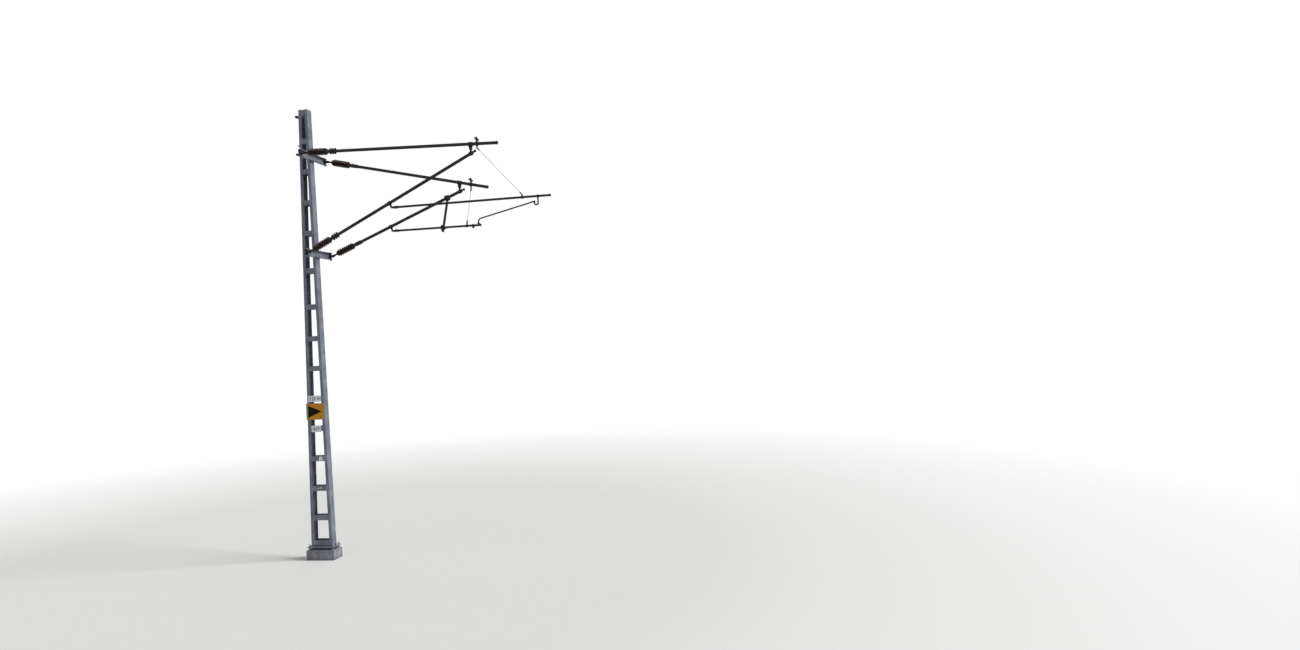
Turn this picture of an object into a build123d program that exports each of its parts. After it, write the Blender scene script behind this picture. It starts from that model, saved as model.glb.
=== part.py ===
# Railway catenary mast with two swinging cantilevers.
# Millimetres. +X points across the track from the mast, +Y along the track, +Z up.
# The origin is the centre of the foundation's underside, at ground level.
import os
from math import atan2, cos, degrees, hypot, radians, sin

from build123d import *

os.makedirs("parts", exist_ok=True)

# Clearances
seat = 0.2  # between a piece and what holds it
pin_seat = 0.3  # radial, round a fixed pin or bolt
running_clearance = 0.08  # radial, round a hinge pin
hinge_gap = 1.0  # beside a turning eye

# Concrete foundation head and its anchor bolts
foundation_margin = 72.5  # concrete beyond the mast's two webs
foundation_side = 70  # concrete beyond the mast's flanges
foundation_height = 200
foundation_chamfer = 15
anchor_diameter = 24
anchor_embedment = 120
anchor_reach = 24.5  # from the mast's webs out to the bolt centres
anchor_edge = 48  # from the foundation's long sides to the bolt centres
anchor_tail = 45  # bolt above the base plate
anchor_nut_across = 36
anchor_nut_height = 20

# Base plate on levelling nuts
plate_standoff = 40
plate_margin = 14  # the plate lies this far inside the foundation's edge
plate_thickness = 20

# Mast of two rolled channels joined by batten plates
mast_height = 9040
mast_foot_width = 455
mast_top_width = 190
channel_depth = 140
channel_flange = 60
channel_web = 7
channel_flange_thickness = 10
channel_root_radius = 10
channel_toe_radius = 5
batten_height = 100
batten_thickness = 8
batten_inset = 28
batten_first_rise = 71  # centre of the lowest batten above the base plate
batten_pitches = [496, 584, 593, 597, 601, 603, 600, 639, 727, 758, 617, 628, 616]
top_batten_drop = 60

# Cross-arms bolted on the track-side channel
upper_arm_drop = 977  # below the mast's top
arm_spacing = 1966
arm_half_length = 430
arm_depth = 140
arm_flange = 60
arm_web = 7
arm_flange_thickness = 10
arm_root_radius = 6
arm_toe_radius = 3
hinge_inset = 40  # from the end of the arm to the hinge pin
hinge_reach = 36  # from the face of the mast to the hinge pin
hinge_pin_diameter = 20
hinge_head_diameter = 34
hinge_head_height = 10
hinge_nut_across = 30
hinge_nut_height = 16
hinge_pin_tail = 8

# Swivel fork between the cross-arm flanges
swivel_diameter = 46
knuckle_reach = 55  # from the hinge pin to the fork bolt
fork_height = 50
fork_cheek = 10
fork_bolt_diameter = 16

# Rod insulators
tongue_thickness = 16
tongue_width = 42
end_rod_diameter = 34
end_rod_length = 116
cap_diameter = 104
cap_floor = 12
cap_grip = 22  # how far a cap reaches over the porcelain
cap_shoulder = 12
core_diameter = 86
shed_diameter = 142
shed_count = 7
shed_pitch = 51
shed_edge = 5
shed_slope = 15
shed_return = 3
shed_gap = 1  # between a cap and the first shed

# Sockets that hold the tubes
neck_diameter = 58
neck_length = 36
socket_length = 150
socket_wall = 9
socket_taper = 40
socket_lip = 3
socket_ear = 16
socket_ear_thickness = 26
socket_ear_length = 26
socket_ear_count = 3

# Tubes
main_tube_diameter = 60.3
main_tube_wall = 4
arm_tube_diameter = 42.4
arm_tube_wall = 3.2
strut_diameter = 48.3
strut_wall = 3.2
steady_diameter = 26.9
steady_wall = 3.2
tube_cap = 4
cap_lip = 3  # how far an end cap stands proud of its tube
cap_sleeve = 24

# Tube clamps
band_wall = 8
band_width = 50
ear_length = 20
ear_thickness = 18
lug_thickness = 12
lug_width = 35
link_drop = 180  # top tube centre to diagonal tube centre
link_band_width = 88
link_top_width = 76
link_end_width = 54
eye_drop = 97  # diagonal tube centre to registration arm pin
eye_bolt_diameter = 14
diagonal_overhang = 48  # tube beyond its end clamp
spigot_diameter = 38
spigot_length = 40
spigot_head_diameter = 50
spigot_head_length = 24

# Registration arms
ferrule_diameter = 54
ferrule_length = 100
ferrule_start = 44
ferrule_taper = 14
arm_clevis_width = 36
arm_clevis_cheek = 6

# Wire clamps
messenger_rise = 88  # top tube centre to messenger wire
messenger_bore = 11.6
saddle_grip = 100
saddle_length = 184
saddle_diameter = 48
saddle_end_diameter = 26
saddle_mouth = 17
saddle_neck_diameter = 34
saddle_foot_diameter = 50
keeper_diameter = 30
keeper_height = 30
stay_lug_drop = 80
contact_bore = 12
contact_clamp_length = 50
contact_clamp_width = 26
contact_clamp_height = 24
contact_drop = 52
stay_wire_diameter = 6
stay_lug_rise = 50
clip_width = 30
clevis_width = 26
clevis_length = 55
clevis_barrel = 22
clevis_cheek = 5
clevis_cheek_width = 21
clevis_bolt_diameter = 10

# Drop bracket and steady arm
drop_bracket_bar = 26
drop_bracket_depth = 155
drop_bracket_hook = 70
drop_bracket_bend = 24
steady_boss_diameter = 34
steady_pin_drop = 94
steady_pin_diameter = 12
steady_reach = 1113
steady_fall = 239
steady_drop = 70
steady_bend = 60
steady_clevis_length = 34

# Signs and small fittings on the mast
sign_thickness = 3
arrow_plate_width = 393
arrow_plate_height = 328
arrow_plate_drop = 256  # below the distance plate's middle
arrow_plate_middle = -14
distance_plate_batten = 5
distance_plate_width = 284
distance_plate_height = 124
distance_plate_middle = -16
number_plate_batten = 4
number_plate_width = 209
number_plate_height = 128
number_plate_middle = -5
sign_corner = 14
tag_batten = 3
tag_width = 68
tag_height = 90
tag_middle = 63
wire_lug_drops = [890, 710, 120]  # below the mast's top
wire_lug_reach = 85
wire_lug_height = 26
wire_lug_plate = 70
wire_lug_bore = 14

# The two cantilevers: a is the long one on the -Y side, b the short one on the +Y side.
# Reaches run along the tube they are on: the link from the upper fork bolt, the eye from
# the lower one, the wire from the registration arm's pin.
cantilevers = {
    "a": {
        "side": -1,
        "top_pitch": -2.83,
        "link_reach": 3475,
        "messenger_offset": 127,
        "top_overhang": 413,
        "eye_reach": 1920,
        "arm_pitch": -0.6,
        "wire_reach": 2931,
        "stay_inset": 304,
        "arm_overhang": 249,
        "ear_turn": 90,
    },
    "b": {
        "side": 1,
        "top_pitch": -13.53,
        "link_reach": 2955,
        "messenger_offset": 249,
        "top_overhang": 366,
        "eye_reach": 1412,
        "arm_pitch": -0.86,
        "wire_reach": 1738,
        "stay_inset": 130,
        "arm_overhang": 168,
        "ear_turn": 0,
    },
}
strut_inset = 319  # from the diagonal's end clamp back to the strut
strut_reach = 1074  # from the registration arm's pin out to the strut
strut_overhang = 80
strut_gap = 8
strut_bridge_diameter = 38

# Derived places
plate_bottom = foundation_height + plate_standoff
leg_foot = plate_bottom + plate_thickness
leg_height = mast_height - leg_foot
taper = (mast_foot_width - mast_top_width) / 2 / leg_height
lean = degrees(atan2(taper, 1))
foundation_length = mast_foot_width + 2 * foundation_margin
foundation_depth = channel_depth + 2 * foundation_side
anchor_spacing_x = mast_foot_width + 2 * anchor_reach
anchor_spacing_y = foundation_depth - 2 * anchor_edge
upper_arm_height = mast_height - upper_arm_drop
lower_arm_height = upper_arm_height - arm_spacing
hinge_y = arm_half_length - hinge_inset
main_radius = main_tube_diameter / 2
arm_radius = arm_tube_diameter / 2
strut_radius = strut_diameter / 2
cap_radius = cap_diameter / 2
spigot_seat = core_diameter / 2 + seat
porcelain_start = end_rod_length + cap_floor
shed_start = porcelain_start + cap_grip + shed_gap + shed_slope
last_shed = shed_start + (shed_count - 1) * shed_pitch
porcelain_end = last_shed + shed_start - porcelain_start
socket_start = porcelain_end + cap_floor + neck_length


def export(builder, name):
    builder.part.label = name
    export_step(builder.part, f"parts/{name}.step")


def half_width(level):
    """Half the mast's width at a level above the ground."""
    return mast_foot_width / 2 - (level - leg_foot) * taper


def face_point(level, reach=0, y=0, side=1):
    """A point at a distance out from a mast face, square to it."""
    out = half_width(level) + reach * cos(radians(lean))
    return Vector(side * out, y, level + reach * sin(radians(lean)))


def face_plane(level, reach=0, y=0, side=1):
    """X points out of the mast, Z up along its leaning face."""
    up = (-side * sin(radians(lean)), 0, cos(radians(lean)))
    out = (side * cos(radians(lean)), 0, sin(radians(lean)))
    return Plane(origin=face_point(level, reach, y, side), x_dir=out, z_dir=up)


def along_plane(point, pitch):
    """Z runs along a tube that climbs by pitch degrees, X is the row's +Y."""
    return Plane(origin=point, x_dir=(0, 1, 0), z_dir=(cos(radians(pitch)), 0, sin(radians(pitch))))


def side_plane(point, pitch=0):
    """The upright plane of a cantilever, X climbing by pitch degrees."""
    return Plane(origin=point, x_dir=(cos(radians(pitch)), 0, sin(radians(pitch))), z_dir=(0, -1, 0))


def travel(point, pitch, distance, rise=0):
    """A point further along a tube, and above its centre line by rise."""
    angle = radians(pitch)
    return point + Vector(
        distance * cos(angle) - rise * sin(angle), 0, distance * sin(angle) + rise * cos(angle)
    )


def pitch_of(run):
    """The angle at which a run in a cantilever's plane climbs."""
    return degrees(atan2(run.Z, run.X))


def channel_section(plane, depth, flange, web, flange_thickness, root_radius, toe_radius):
    """A rolled channel's section, its web along the plane's Y and its flanges towards +X."""
    cavity = flange - web
    with BuildSketch(plane) as section:
        with Locations((flange / 2, 0)):
            Rectangle(flange, depth)
        with Locations((web + cavity / 2, 0)):
            Rectangle(cavity, depth - 2 * flange_thickness, mode=Mode.SUBTRACT)
        inner = section.vertices().filter_by(lambda v: abs(v.Y) < (depth - flange_thickness) / 2)
        corners = inner.sort_by(lambda v: v.X)
        fillet(corners[:2], root_radius)
        fillet(corners[2:], toe_radius)
    return section.sketch


def turned(start, direction, profile):
    """A round piece about a line, from (distance along it, radius) points."""
    line = Plane(origin=start, z_dir=direction)
    with BuildPart() as piece:
        with BuildSketch(Plane(origin=start, x_dir=line.z_dir, z_dir=line.x_dir)):
            with BuildLine():
                Polyline((profile[0][0], 0), *profile, (profile[-1][0], 0), close=True)
            make_face()
        revolve(axis=Axis(start, line.z_dir))
    return piece.part


def tube(plane, start, end, diameter, wall):
    """A tube from start to end along the plane's Z, with a cap on its far end."""
    radius = diameter / 2
    with BuildPart() as pipe:
        for low, high, size in ((start, end, radius), (end - cap_sleeve, end, radius + cap_lip)):
            with BuildSketch(plane.offset(low)):
                Circle(size)
            extrude(amount=high - low)
        with BuildSketch(plane.offset(start)):
            Circle(radius - wall)
        extrude(amount=end - start - tube_cap, mode=Mode.SUBTRACT)
    return pipe.part


def band(plane, radius, width, ear_turn=0):
    """A two-part clamp round a tube, with its bolting ears."""
    outer = radius + seat + band_wall
    with BuildPart() as clamp:
        with BuildSketch(plane.offset(-width / 2)):
            Circle(outer)
            Rectangle(2 * (outer + ear_length), ear_thickness, rotation=ear_turn)
            Circle(radius + seat, mode=Mode.SUBTRACT)
        extrude(amount=width)
    return clamp.part


def bore(plane, radius, width):
    """What a tube takes out of a clamp of that width."""
    with BuildPart() as hole:
        with BuildSketch(plane.offset(-width)):
            Circle(radius + seat)
        extrude(amount=2 * width)
    return hole.part


def flat_link(point, pitch, length, width, thickness, shift=0, end_width=None):
    """A flat bar with round ends, from one eye centre to the next."""
    with BuildPart() as bar:
        with BuildSketch(side_plane(point + Vector(0, shift, 0), pitch)):
            Circle(width / 2)
            with Locations((length, 0)):
                Circle((end_width or width) / 2)
            make_hull()
        extrude(amount=thickness / 2, both=True)
    return bar.part


def cross_pin(point, diameter, length):
    """A round pin along Y, centred on a point."""
    with BuildPart() as pin:
        with BuildSketch(side_plane(point)):
            Circle(diameter / 2)
        extrude(amount=length / 2, both=True)
    return pin.part


# Foundation
with BuildPart() as foundation:
    with BuildSketch():
        Rectangle(foundation_length, foundation_depth)
    extrude(amount=foundation_height)
    chamfer(foundation.faces().sort_by(Axis.Z)[-1].edges(), foundation_chamfer)
    with BuildSketch(Plane.XY.offset(foundation_height)):
        with GridLocations(anchor_spacing_x, anchor_spacing_y, 2, 2):
            Circle(anchor_diameter / 2 + pin_seat)
    extrude(amount=-anchor_embedment, mode=Mode.SUBTRACT)
export(foundation, "foundation")

# Base plate
with BuildPart() as base_plate:
    with BuildSketch(Plane.XY.offset(plate_bottom)):
        Rectangle(foundation_length - 2 * plate_margin, foundation_depth - 2 * plate_margin)
        with GridLocations(anchor_spacing_x, anchor_spacing_y, 2, 2):
            Circle(anchor_diameter / 2 + pin_seat, mode=Mode.SUBTRACT)
    extrude(amount=plate_thickness)
export(base_plate, "base_plate")

# Anchor bolts with a levelling nut under the plate and a nut on it
with BuildPart() as anchor_bolts:
    with BuildSketch(Plane.XY.offset(foundation_height - anchor_embedment)):
        with GridLocations(anchor_spacing_x, anchor_spacing_y, 2, 2):
            Circle(anchor_diameter / 2)
    extrude(amount=anchor_embedment + plate_standoff + plate_thickness + anchor_tail)
    for nut_level in (plate_bottom - anchor_nut_height, leg_foot):
        with BuildSketch(Plane.XY.offset(nut_level)):
            with GridLocations(anchor_spacing_x, anchor_spacing_y, 2, 2):
                RegularPolygon(anchor_nut_across / 2, 6, major_radius=False)
        extrude(amount=anchor_nut_height)
export(anchor_bolts, "anchor_bolts")


# Mast legs
def mast_leg(side):
    """One channel with its web outwards, leaning in towards the top."""
    foot = Plane(origin=(side * mast_foot_width / 2, 0, leg_foot), x_dir=(-side, 0, 0), z_dir=(0, 0, 1))
    section = channel_section(
        foot,
        channel_depth,
        channel_flange,
        channel_web,
        channel_flange_thickness,
        channel_root_radius,
        channel_toe_radius,
    )
    with BuildPart() as leg:
        add(section)
        extrude(amount=hypot(leg_height, leg_height * taper), dir=(-side * taper, 0, 1))
    return leg


mast_leg_field = mast_leg(-1)
export(mast_leg_field, "mast_leg_field")
mast_leg_track = mast_leg(1)
export(mast_leg_track, "mast_leg_track")

# Batten plates, welded across the near and the far flanges
batten_levels = [leg_foot + batten_first_rise]
for batten_pitch in batten_pitches:
    batten_levels.append(batten_levels[-1] + batten_pitch)
top_batten_level = mast_height - top_batten_drop
batten_levels = [
    level for level in batten_levels if level < top_batten_level - 2 * batten_height
] + [top_batten_level]
for name, face in (("batten_plates_near", 1), ("batten_plates_far", -1)):
    with BuildPart() as battens:
        with BuildSketch(Plane.XZ.offset(face * channel_depth / 2)):
            for level in batten_levels:
                with Locations((0, level)):
                    Rectangle(2 * (half_width(level) - batten_inset), batten_height)
        extrude(amount=face * batten_thickness)
    export(battens, name)


# Cross-arms
def cross_arm(level):
    """A channel along the track, web on the mast, bored at each end for a hinge pin."""
    middle = face_plane(level, seat)
    section = channel_section(
        Plane(origin=middle.origin, x_dir=middle.x_dir, z_dir=(0, -1, 0)),
        arm_depth,
        arm_flange,
        arm_web,
        arm_flange_thickness,
        arm_root_radius,
        arm_toe_radius,
    )
    with BuildPart() as arm:
        add(section)
        extrude(amount=arm_half_length, both=True, dir=(0, 1, 0))
        with BuildSketch(face_plane(level, hinge_reach)):
            with GridLocations(arm_flange, 2 * hinge_y, 1, 2):
                Circle(hinge_pin_diameter / 2 + pin_seat)
        extrude(amount=arm_depth, both=True, mode=Mode.SUBTRACT)
    return arm


upper_cross_arm = cross_arm(upper_arm_height)
export(upper_cross_arm, "upper_cross_arm")
lower_cross_arm = cross_arm(lower_arm_height)
export(lower_cross_arm, "lower_cross_arm")

# Hinge pins, headed above the arm and nutted below it
with BuildPart() as hinge_pins:
    for level in (upper_arm_height, lower_arm_height):
        for side in (-1, 1):
            axis = face_plane(level, hinge_reach, side * hinge_y)
            low = -arm_depth / 2 - seat - hinge_nut_height - hinge_pin_tail
            high = arm_depth / 2 + seat
            with BuildSketch(axis.offset(low)):
                Circle(hinge_pin_diameter / 2)
            extrude(amount=high - low)
            with BuildSketch(axis.offset(high)):
                Circle(hinge_head_diameter / 2)
            extrude(amount=hinge_head_height)
            with BuildSketch(axis.offset(-high)):
                RegularPolygon(hinge_nut_across / 2, 6, major_radius=False)
            extrude(amount=-hinge_nut_height)
export(hinge_pins, "hinge_pins")

# Signs on the near side, and a small tag on one batten
near_face = channel_depth / 2
batten_face = near_face + batten_thickness
distance_level = batten_levels[distance_plate_batten]
arrow_level = distance_level - arrow_plate_drop
number_level = batten_levels[number_plate_batten]
tag_level = batten_levels[tag_batten]
for name, middle, level, width, height, face in (
    ("arrow_plate", arrow_plate_middle, arrow_level, arrow_plate_width, arrow_plate_height, near_face),
    (
        "distance_plate",
        distance_plate_middle,
        distance_level,
        distance_plate_width,
        distance_plate_height,
        batten_face,
    ),
    (
        "number_plate",
        number_plate_middle,
        number_level,
        number_plate_width,
        number_plate_height,
        batten_face,
    ),
    ("batten_tag", tag_middle, tag_level, tag_width, tag_height, batten_face),
):
    with BuildPart() as sign:
        with BuildSketch(Plane.XZ.offset(face)):
            with Locations((middle, level)):
                RectangleRounded(width, height, sign_corner)
        extrude(amount=sign_thickness)
    export(sign, name)

# Wire lugs on the field side, each a bored plate standing on a square one
with BuildPart() as field_wire_lugs:
    for drop in wire_lug_drops:
        root = face_plane(mast_height - drop, seat, side=-1)
        with BuildSketch(Plane(origin=root.origin, x_dir=(0, 1, 0), z_dir=root.x_dir)):
            Rectangle(wire_lug_plate, wire_lug_plate)
        extrude(amount=batten_thickness)
        with BuildSketch(Plane(origin=root.origin, x_dir=root.x_dir, z_dir=(0, 1, 0))):
            with Locations((wire_lug_reach / 2, 0)):
                SlotOverall(wire_lug_reach, wire_lug_height)
            with Locations((wire_lug_reach - wire_lug_height / 2, 0)):
                Circle(wire_lug_bore / 2, mode=Mode.SUBTRACT)
        extrude(amount=batten_thickness / 2, both=True)
export(field_wire_lugs, "field_wire_lugs")


# Hinged ends of the insulators
def swivel(level, y):
    """A barrel on the hinge pin with a fork that holds the insulator's tongue."""
    axis = face_plane(level, hinge_reach, y)
    knuckle = face_plane(level, hinge_reach + knuckle_reach, y)
    slot = tongue_thickness + 2 * seat
    barrel = arm_depth - 2 * arm_flange_thickness - 2 * hinge_gap
    with BuildPart() as fork:
        with BuildSketch(axis.offset(-barrel / 2)):
            Circle(swivel_diameter / 2)
        extrude(amount=barrel)
        with BuildSketch(axis.offset(-fork_height / 2)):
            with Locations((knuckle_reach / 2, 0)):
                Rectangle(knuckle_reach, slot + 2 * fork_cheek)
        extrude(amount=fork_height)
        with BuildSketch(side_plane(knuckle.origin, lean)):
            Circle(fork_height / 2)
        extrude(amount=slot / 2 + fork_cheek, both=True)
        with BuildSketch(axis.offset(-fork_height)):
            with Locations((knuckle_reach, 0)):
                Rectangle(2 * (knuckle_reach - swivel_diameter / 2 - hinge_gap), slot)
        extrude(amount=2 * fork_height, mode=Mode.SUBTRACT)
        with BuildSketch(side_plane(knuckle.origin)):
            Circle(fork_bolt_diameter / 2)
        extrude(amount=slot / 2 + 2 * fork_cheek, both=True)
        with BuildSketch(axis.offset(-barrel)):
            Circle(hinge_pin_diameter / 2 + running_clearance)
        extrude(amount=2 * barrel, mode=Mode.SUBTRACT)
    return fork.part


def eye_cap(knuckle, pitch):
    """The insulator's inner fitting: tongue, rod and the cap round the porcelain."""
    line = along_plane(knuckle, pitch).z_dir
    rod = end_rod_diameter / 2
    cap_end = porcelain_start + cap_grip
    outline = [
        (tongue_width, rod),
        (end_rod_length - cap_shoulder, rod),
        (end_rod_length, cap_radius - cap_shoulder),
        (end_rod_length + cap_shoulder, cap_radius),
        (cap_end, cap_radius),
    ]
    with BuildPart() as fitting:
        add(turned(knuckle, line, outline))
        add(
            turned(knuckle, line, [(porcelain_start - seat, spigot_seat), (cap_end + seat, spigot_seat)]),
            mode=Mode.SUBTRACT,
        )
        add(flat_link(knuckle, pitch, tongue_width, tongue_width, tongue_thickness))
        add(cross_pin(knuckle, fork_bolt_diameter + 2 * pin_seat, cap_diameter), mode=Mode.SUBTRACT)
    return fitting.part


def tube_socket(knuckle, pitch, ear_turn):
    """The insulator's outer fitting: cap, neck and the split sleeve for the tube."""
    axis = along_plane(knuckle, pitch)
    tube_bore = main_radius + seat
    sleeve = tube_bore + socket_wall
    cap_start = porcelain_end - cap_grip
    socket_end = socket_start + socket_length
    outline = [
        (cap_start, cap_radius),
        (porcelain_end, cap_radius),
        (porcelain_end + cap_shoulder, cap_radius - cap_shoulder),
        (porcelain_end + 2 * cap_shoulder, neck_diameter / 2),
        (socket_start - cap_shoulder, neck_diameter / 2),
        (socket_start, sleeve),
        (socket_end - socket_taper, sleeve),
        (socket_end, tube_bore + socket_lip),
    ]
    ear_step = socket_length / socket_ear_count
    with BuildPart() as fitting:
        add(turned(knuckle, axis.z_dir, outline))
        for ear in range(socket_ear_count):
            middle = socket_start + (ear + 0.5) * ear_step
            with BuildSketch(axis.offset(middle - socket_ear_length / 2)):
                Rectangle(2 * (sleeve + socket_ear), socket_ear_thickness, rotation=ear_turn)
            extrude(amount=socket_ear_length)
        for low, high, radius in (
            (cap_start - seat, porcelain_end + seat, spigot_seat),
            (socket_start + seat, socket_end + seat, tube_bore),
        ):
            with BuildSketch(axis.offset(low)):
                Circle(radius)
            extrude(amount=high - low, mode=Mode.SUBTRACT)
    return fitting.part


# Porcelain
def porcelain(knuckle, pitch):
    """A solid core with evenly spaced sheds, turned about the tube's line."""
    core = core_diameter / 2
    tip = shed_diameter / 2
    outline = [(porcelain_start, core)]
    for shed in range(shed_count):
        middle = shed_start + shed * shed_pitch
        outline.append((middle - shed_slope, core))
        outline.append((middle, tip))
        outline.append((middle + shed_edge, tip))
        outline.append((middle + shed_edge + shed_return, core))
    outline.append((porcelain_end, core))
    insulator = turned(knuckle, along_plane(knuckle, pitch).z_dir, outline)
    return insulator


# Link that hangs the diagonal tube from the top tube
def top_link(point, pitch):
    """A wide band on the top tube with two cheeks down to the diagonal's lug."""
    plane = along_plane(point, pitch)
    middle = point - Vector(0, 0, link_drop / 2)
    with BuildPart() as link:
        add(band(plane, main_radius, link_band_width))
        for side in (-1, 1):
            shift = side * (lug_thickness + seat)
            add(
                flat_link(
                    point, -90, link_drop / 2, link_top_width, lug_thickness, shift, link_end_width
                )
            )
        add(bore(plane, main_radius, link_band_width), mode=Mode.SUBTRACT)
        add(cross_pin(middle, eye_bolt_diameter, 4 * lug_thickness))
    return link.part


def lug_clamp(point, pitch, lug_pitch, drop, radius, width):
    """A band round a tube with one lug, bored for a bolt."""
    plane = along_plane(point, pitch)
    hole = travel(point, lug_pitch, drop)
    with BuildPart() as clamp:
        add(band(plane, radius, width))
        add(flat_link(point, lug_pitch, drop, lug_width, lug_thickness))
        add(bore(plane, radius, width), mode=Mode.SUBTRACT)
        add(cross_pin(hole, eye_bolt_diameter + 2 * pin_seat, 4 * lug_thickness), mode=Mode.SUBTRACT)
    return clamp.part


# Registration arm
def registration_arm(pin, pitch, length):
    """A clevis on the eye bolt, a ferrule and a light tube."""
    axis = along_plane(pin, pitch)
    ferrule_end = ferrule_start + ferrule_length
    outline = [
        (ferrule_start, arm_radius),
        (ferrule_start + ferrule_taper, ferrule_diameter / 2),
        (ferrule_end - ferrule_taper, ferrule_diameter / 2),
        (ferrule_end, arm_radius),
    ]
    with BuildPart() as arm:
        add(turned(pin, axis.z_dir, outline))
        add(tube(axis, ferrule_end, length, arm_tube_diameter, arm_tube_wall))
        for side in (-1, 1):
            shift = side * ((lug_thickness + arm_clevis_cheek) / 2 + seat)
            add(flat_link(pin, pitch, ferrule_start, arm_clevis_width, arm_clevis_cheek, shift))
        add(cross_pin(pin, eye_bolt_diameter, 3 * lug_thickness))
    return arm.part


# Messenger wire clamp
def messenger_clamp(point, pitch):
    """A band on the top tube, a saddle on a neck over it and a lug for the stay below."""
    wire = point + Vector(0, 0, messenger_rise)
    lug = point - Vector(0, 0, stay_lug_drop)
    plane = along_plane(point, pitch)
    half_grip = saddle_grip / 2
    half_saddle = saddle_length / 2
    neck = [
        (0, saddle_foot_diameter / 2),
        (main_radius + band_wall, saddle_foot_diameter / 2),
        (main_radius + 2 * band_wall, saddle_neck_diameter / 2),
        (messenger_rise, saddle_neck_diameter / 2),
    ]
    saddle = [
        (-half_saddle, saddle_end_diameter / 2),
        (-half_grip / 2, saddle_diameter / 2),
        (half_grip / 2, saddle_diameter / 2),
        (half_saddle, saddle_end_diameter / 2),
    ]
    wire_way = [
        (-half_saddle - seat, saddle_mouth / 2),
        (-half_grip, messenger_bore / 2),
        (half_grip, messenger_bore / 2),
        (half_saddle + seat, saddle_mouth / 2),
    ]
    with BuildPart() as clamp:
        add(band(plane, main_radius, band_width))
        add(flat_link(lug, 90, stay_lug_drop, clevis_width, lug_thickness))
        add(turned(point, (0, 0, 1), neck))
        add(turned(wire, (0, 0, 1), [(0, keeper_diameter / 2), (keeper_height, keeper_diameter / 2)]))
        add(turned(wire, (0, 1, 0), saddle))
        add(turned(wire, (0, 1, 0), wire_way), mode=Mode.SUBTRACT)
        add(bore(plane, main_radius, band_width), mode=Mode.SUBTRACT)
        add(cross_pin(lug, clevis_bolt_diameter + 2 * pin_seat, band_width), mode=Mode.SUBTRACT)
    return clamp.part


def stay_wire(top, bottom):
    """A taut wire with a clevis and bolt at each end."""
    run = bottom - top
    with BuildPart() as stay:
        with BuildSketch(along_plane(top, pitch_of(run)).offset(clevis_length)):
            Circle(stay_wire_diameter / 2)
        extrude(amount=run.length - 2 * clevis_length)
        for end, way in ((top, pitch_of(run)), (bottom, pitch_of(-run))):
            cheek_length = clevis_length - clevis_barrel
            with BuildSketch(along_plane(end, way).offset(cheek_length)):
                Circle(clevis_width / 2)
            extrude(amount=clevis_barrel)
            for side in (-1, 1):
                shift = side * ((lug_thickness + clevis_cheek) / 2 + seat)
                add(flat_link(end, way, cheek_length, clevis_cheek_width, clevis_cheek, shift))
            add(cross_pin(end, clevis_bolt_diameter, lug_thickness + 4 * clevis_cheek))
    return stay.part


def stay_clip(point, pitch):
    """A band on the registration arm with a lug standing up for the stay."""
    plane = along_plane(point, pitch)
    lug = travel(point, pitch, 0, stay_lug_rise)
    with BuildPart() as clip:
        add(band(plane, arm_radius, clip_width))
        add(flat_link(lug, pitch_of(point - lug), stay_lug_rise, clevis_width, lug_thickness))
        add(bore(plane, arm_radius, clip_width), mode=Mode.SUBTRACT)
        add(cross_pin(lug, clevis_bolt_diameter + 2 * pin_seat, clip_width), mode=Mode.SUBTRACT)
    return clip.part


def contact_clamp(top, wire):
    """A jaw that grips the top of the contact wire."""
    with BuildPart() as clamp:
        with BuildSketch(side_plane(wire)):
            with Locations((0, (top - wire.Z) / 2)):
                Rectangle(contact_clamp_width, top - wire.Z)
            Circle(contact_bore / 2, mode=Mode.SUBTRACT)
        extrude(amount=contact_clamp_length / 2, both=True)
    return clamp.part


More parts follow.
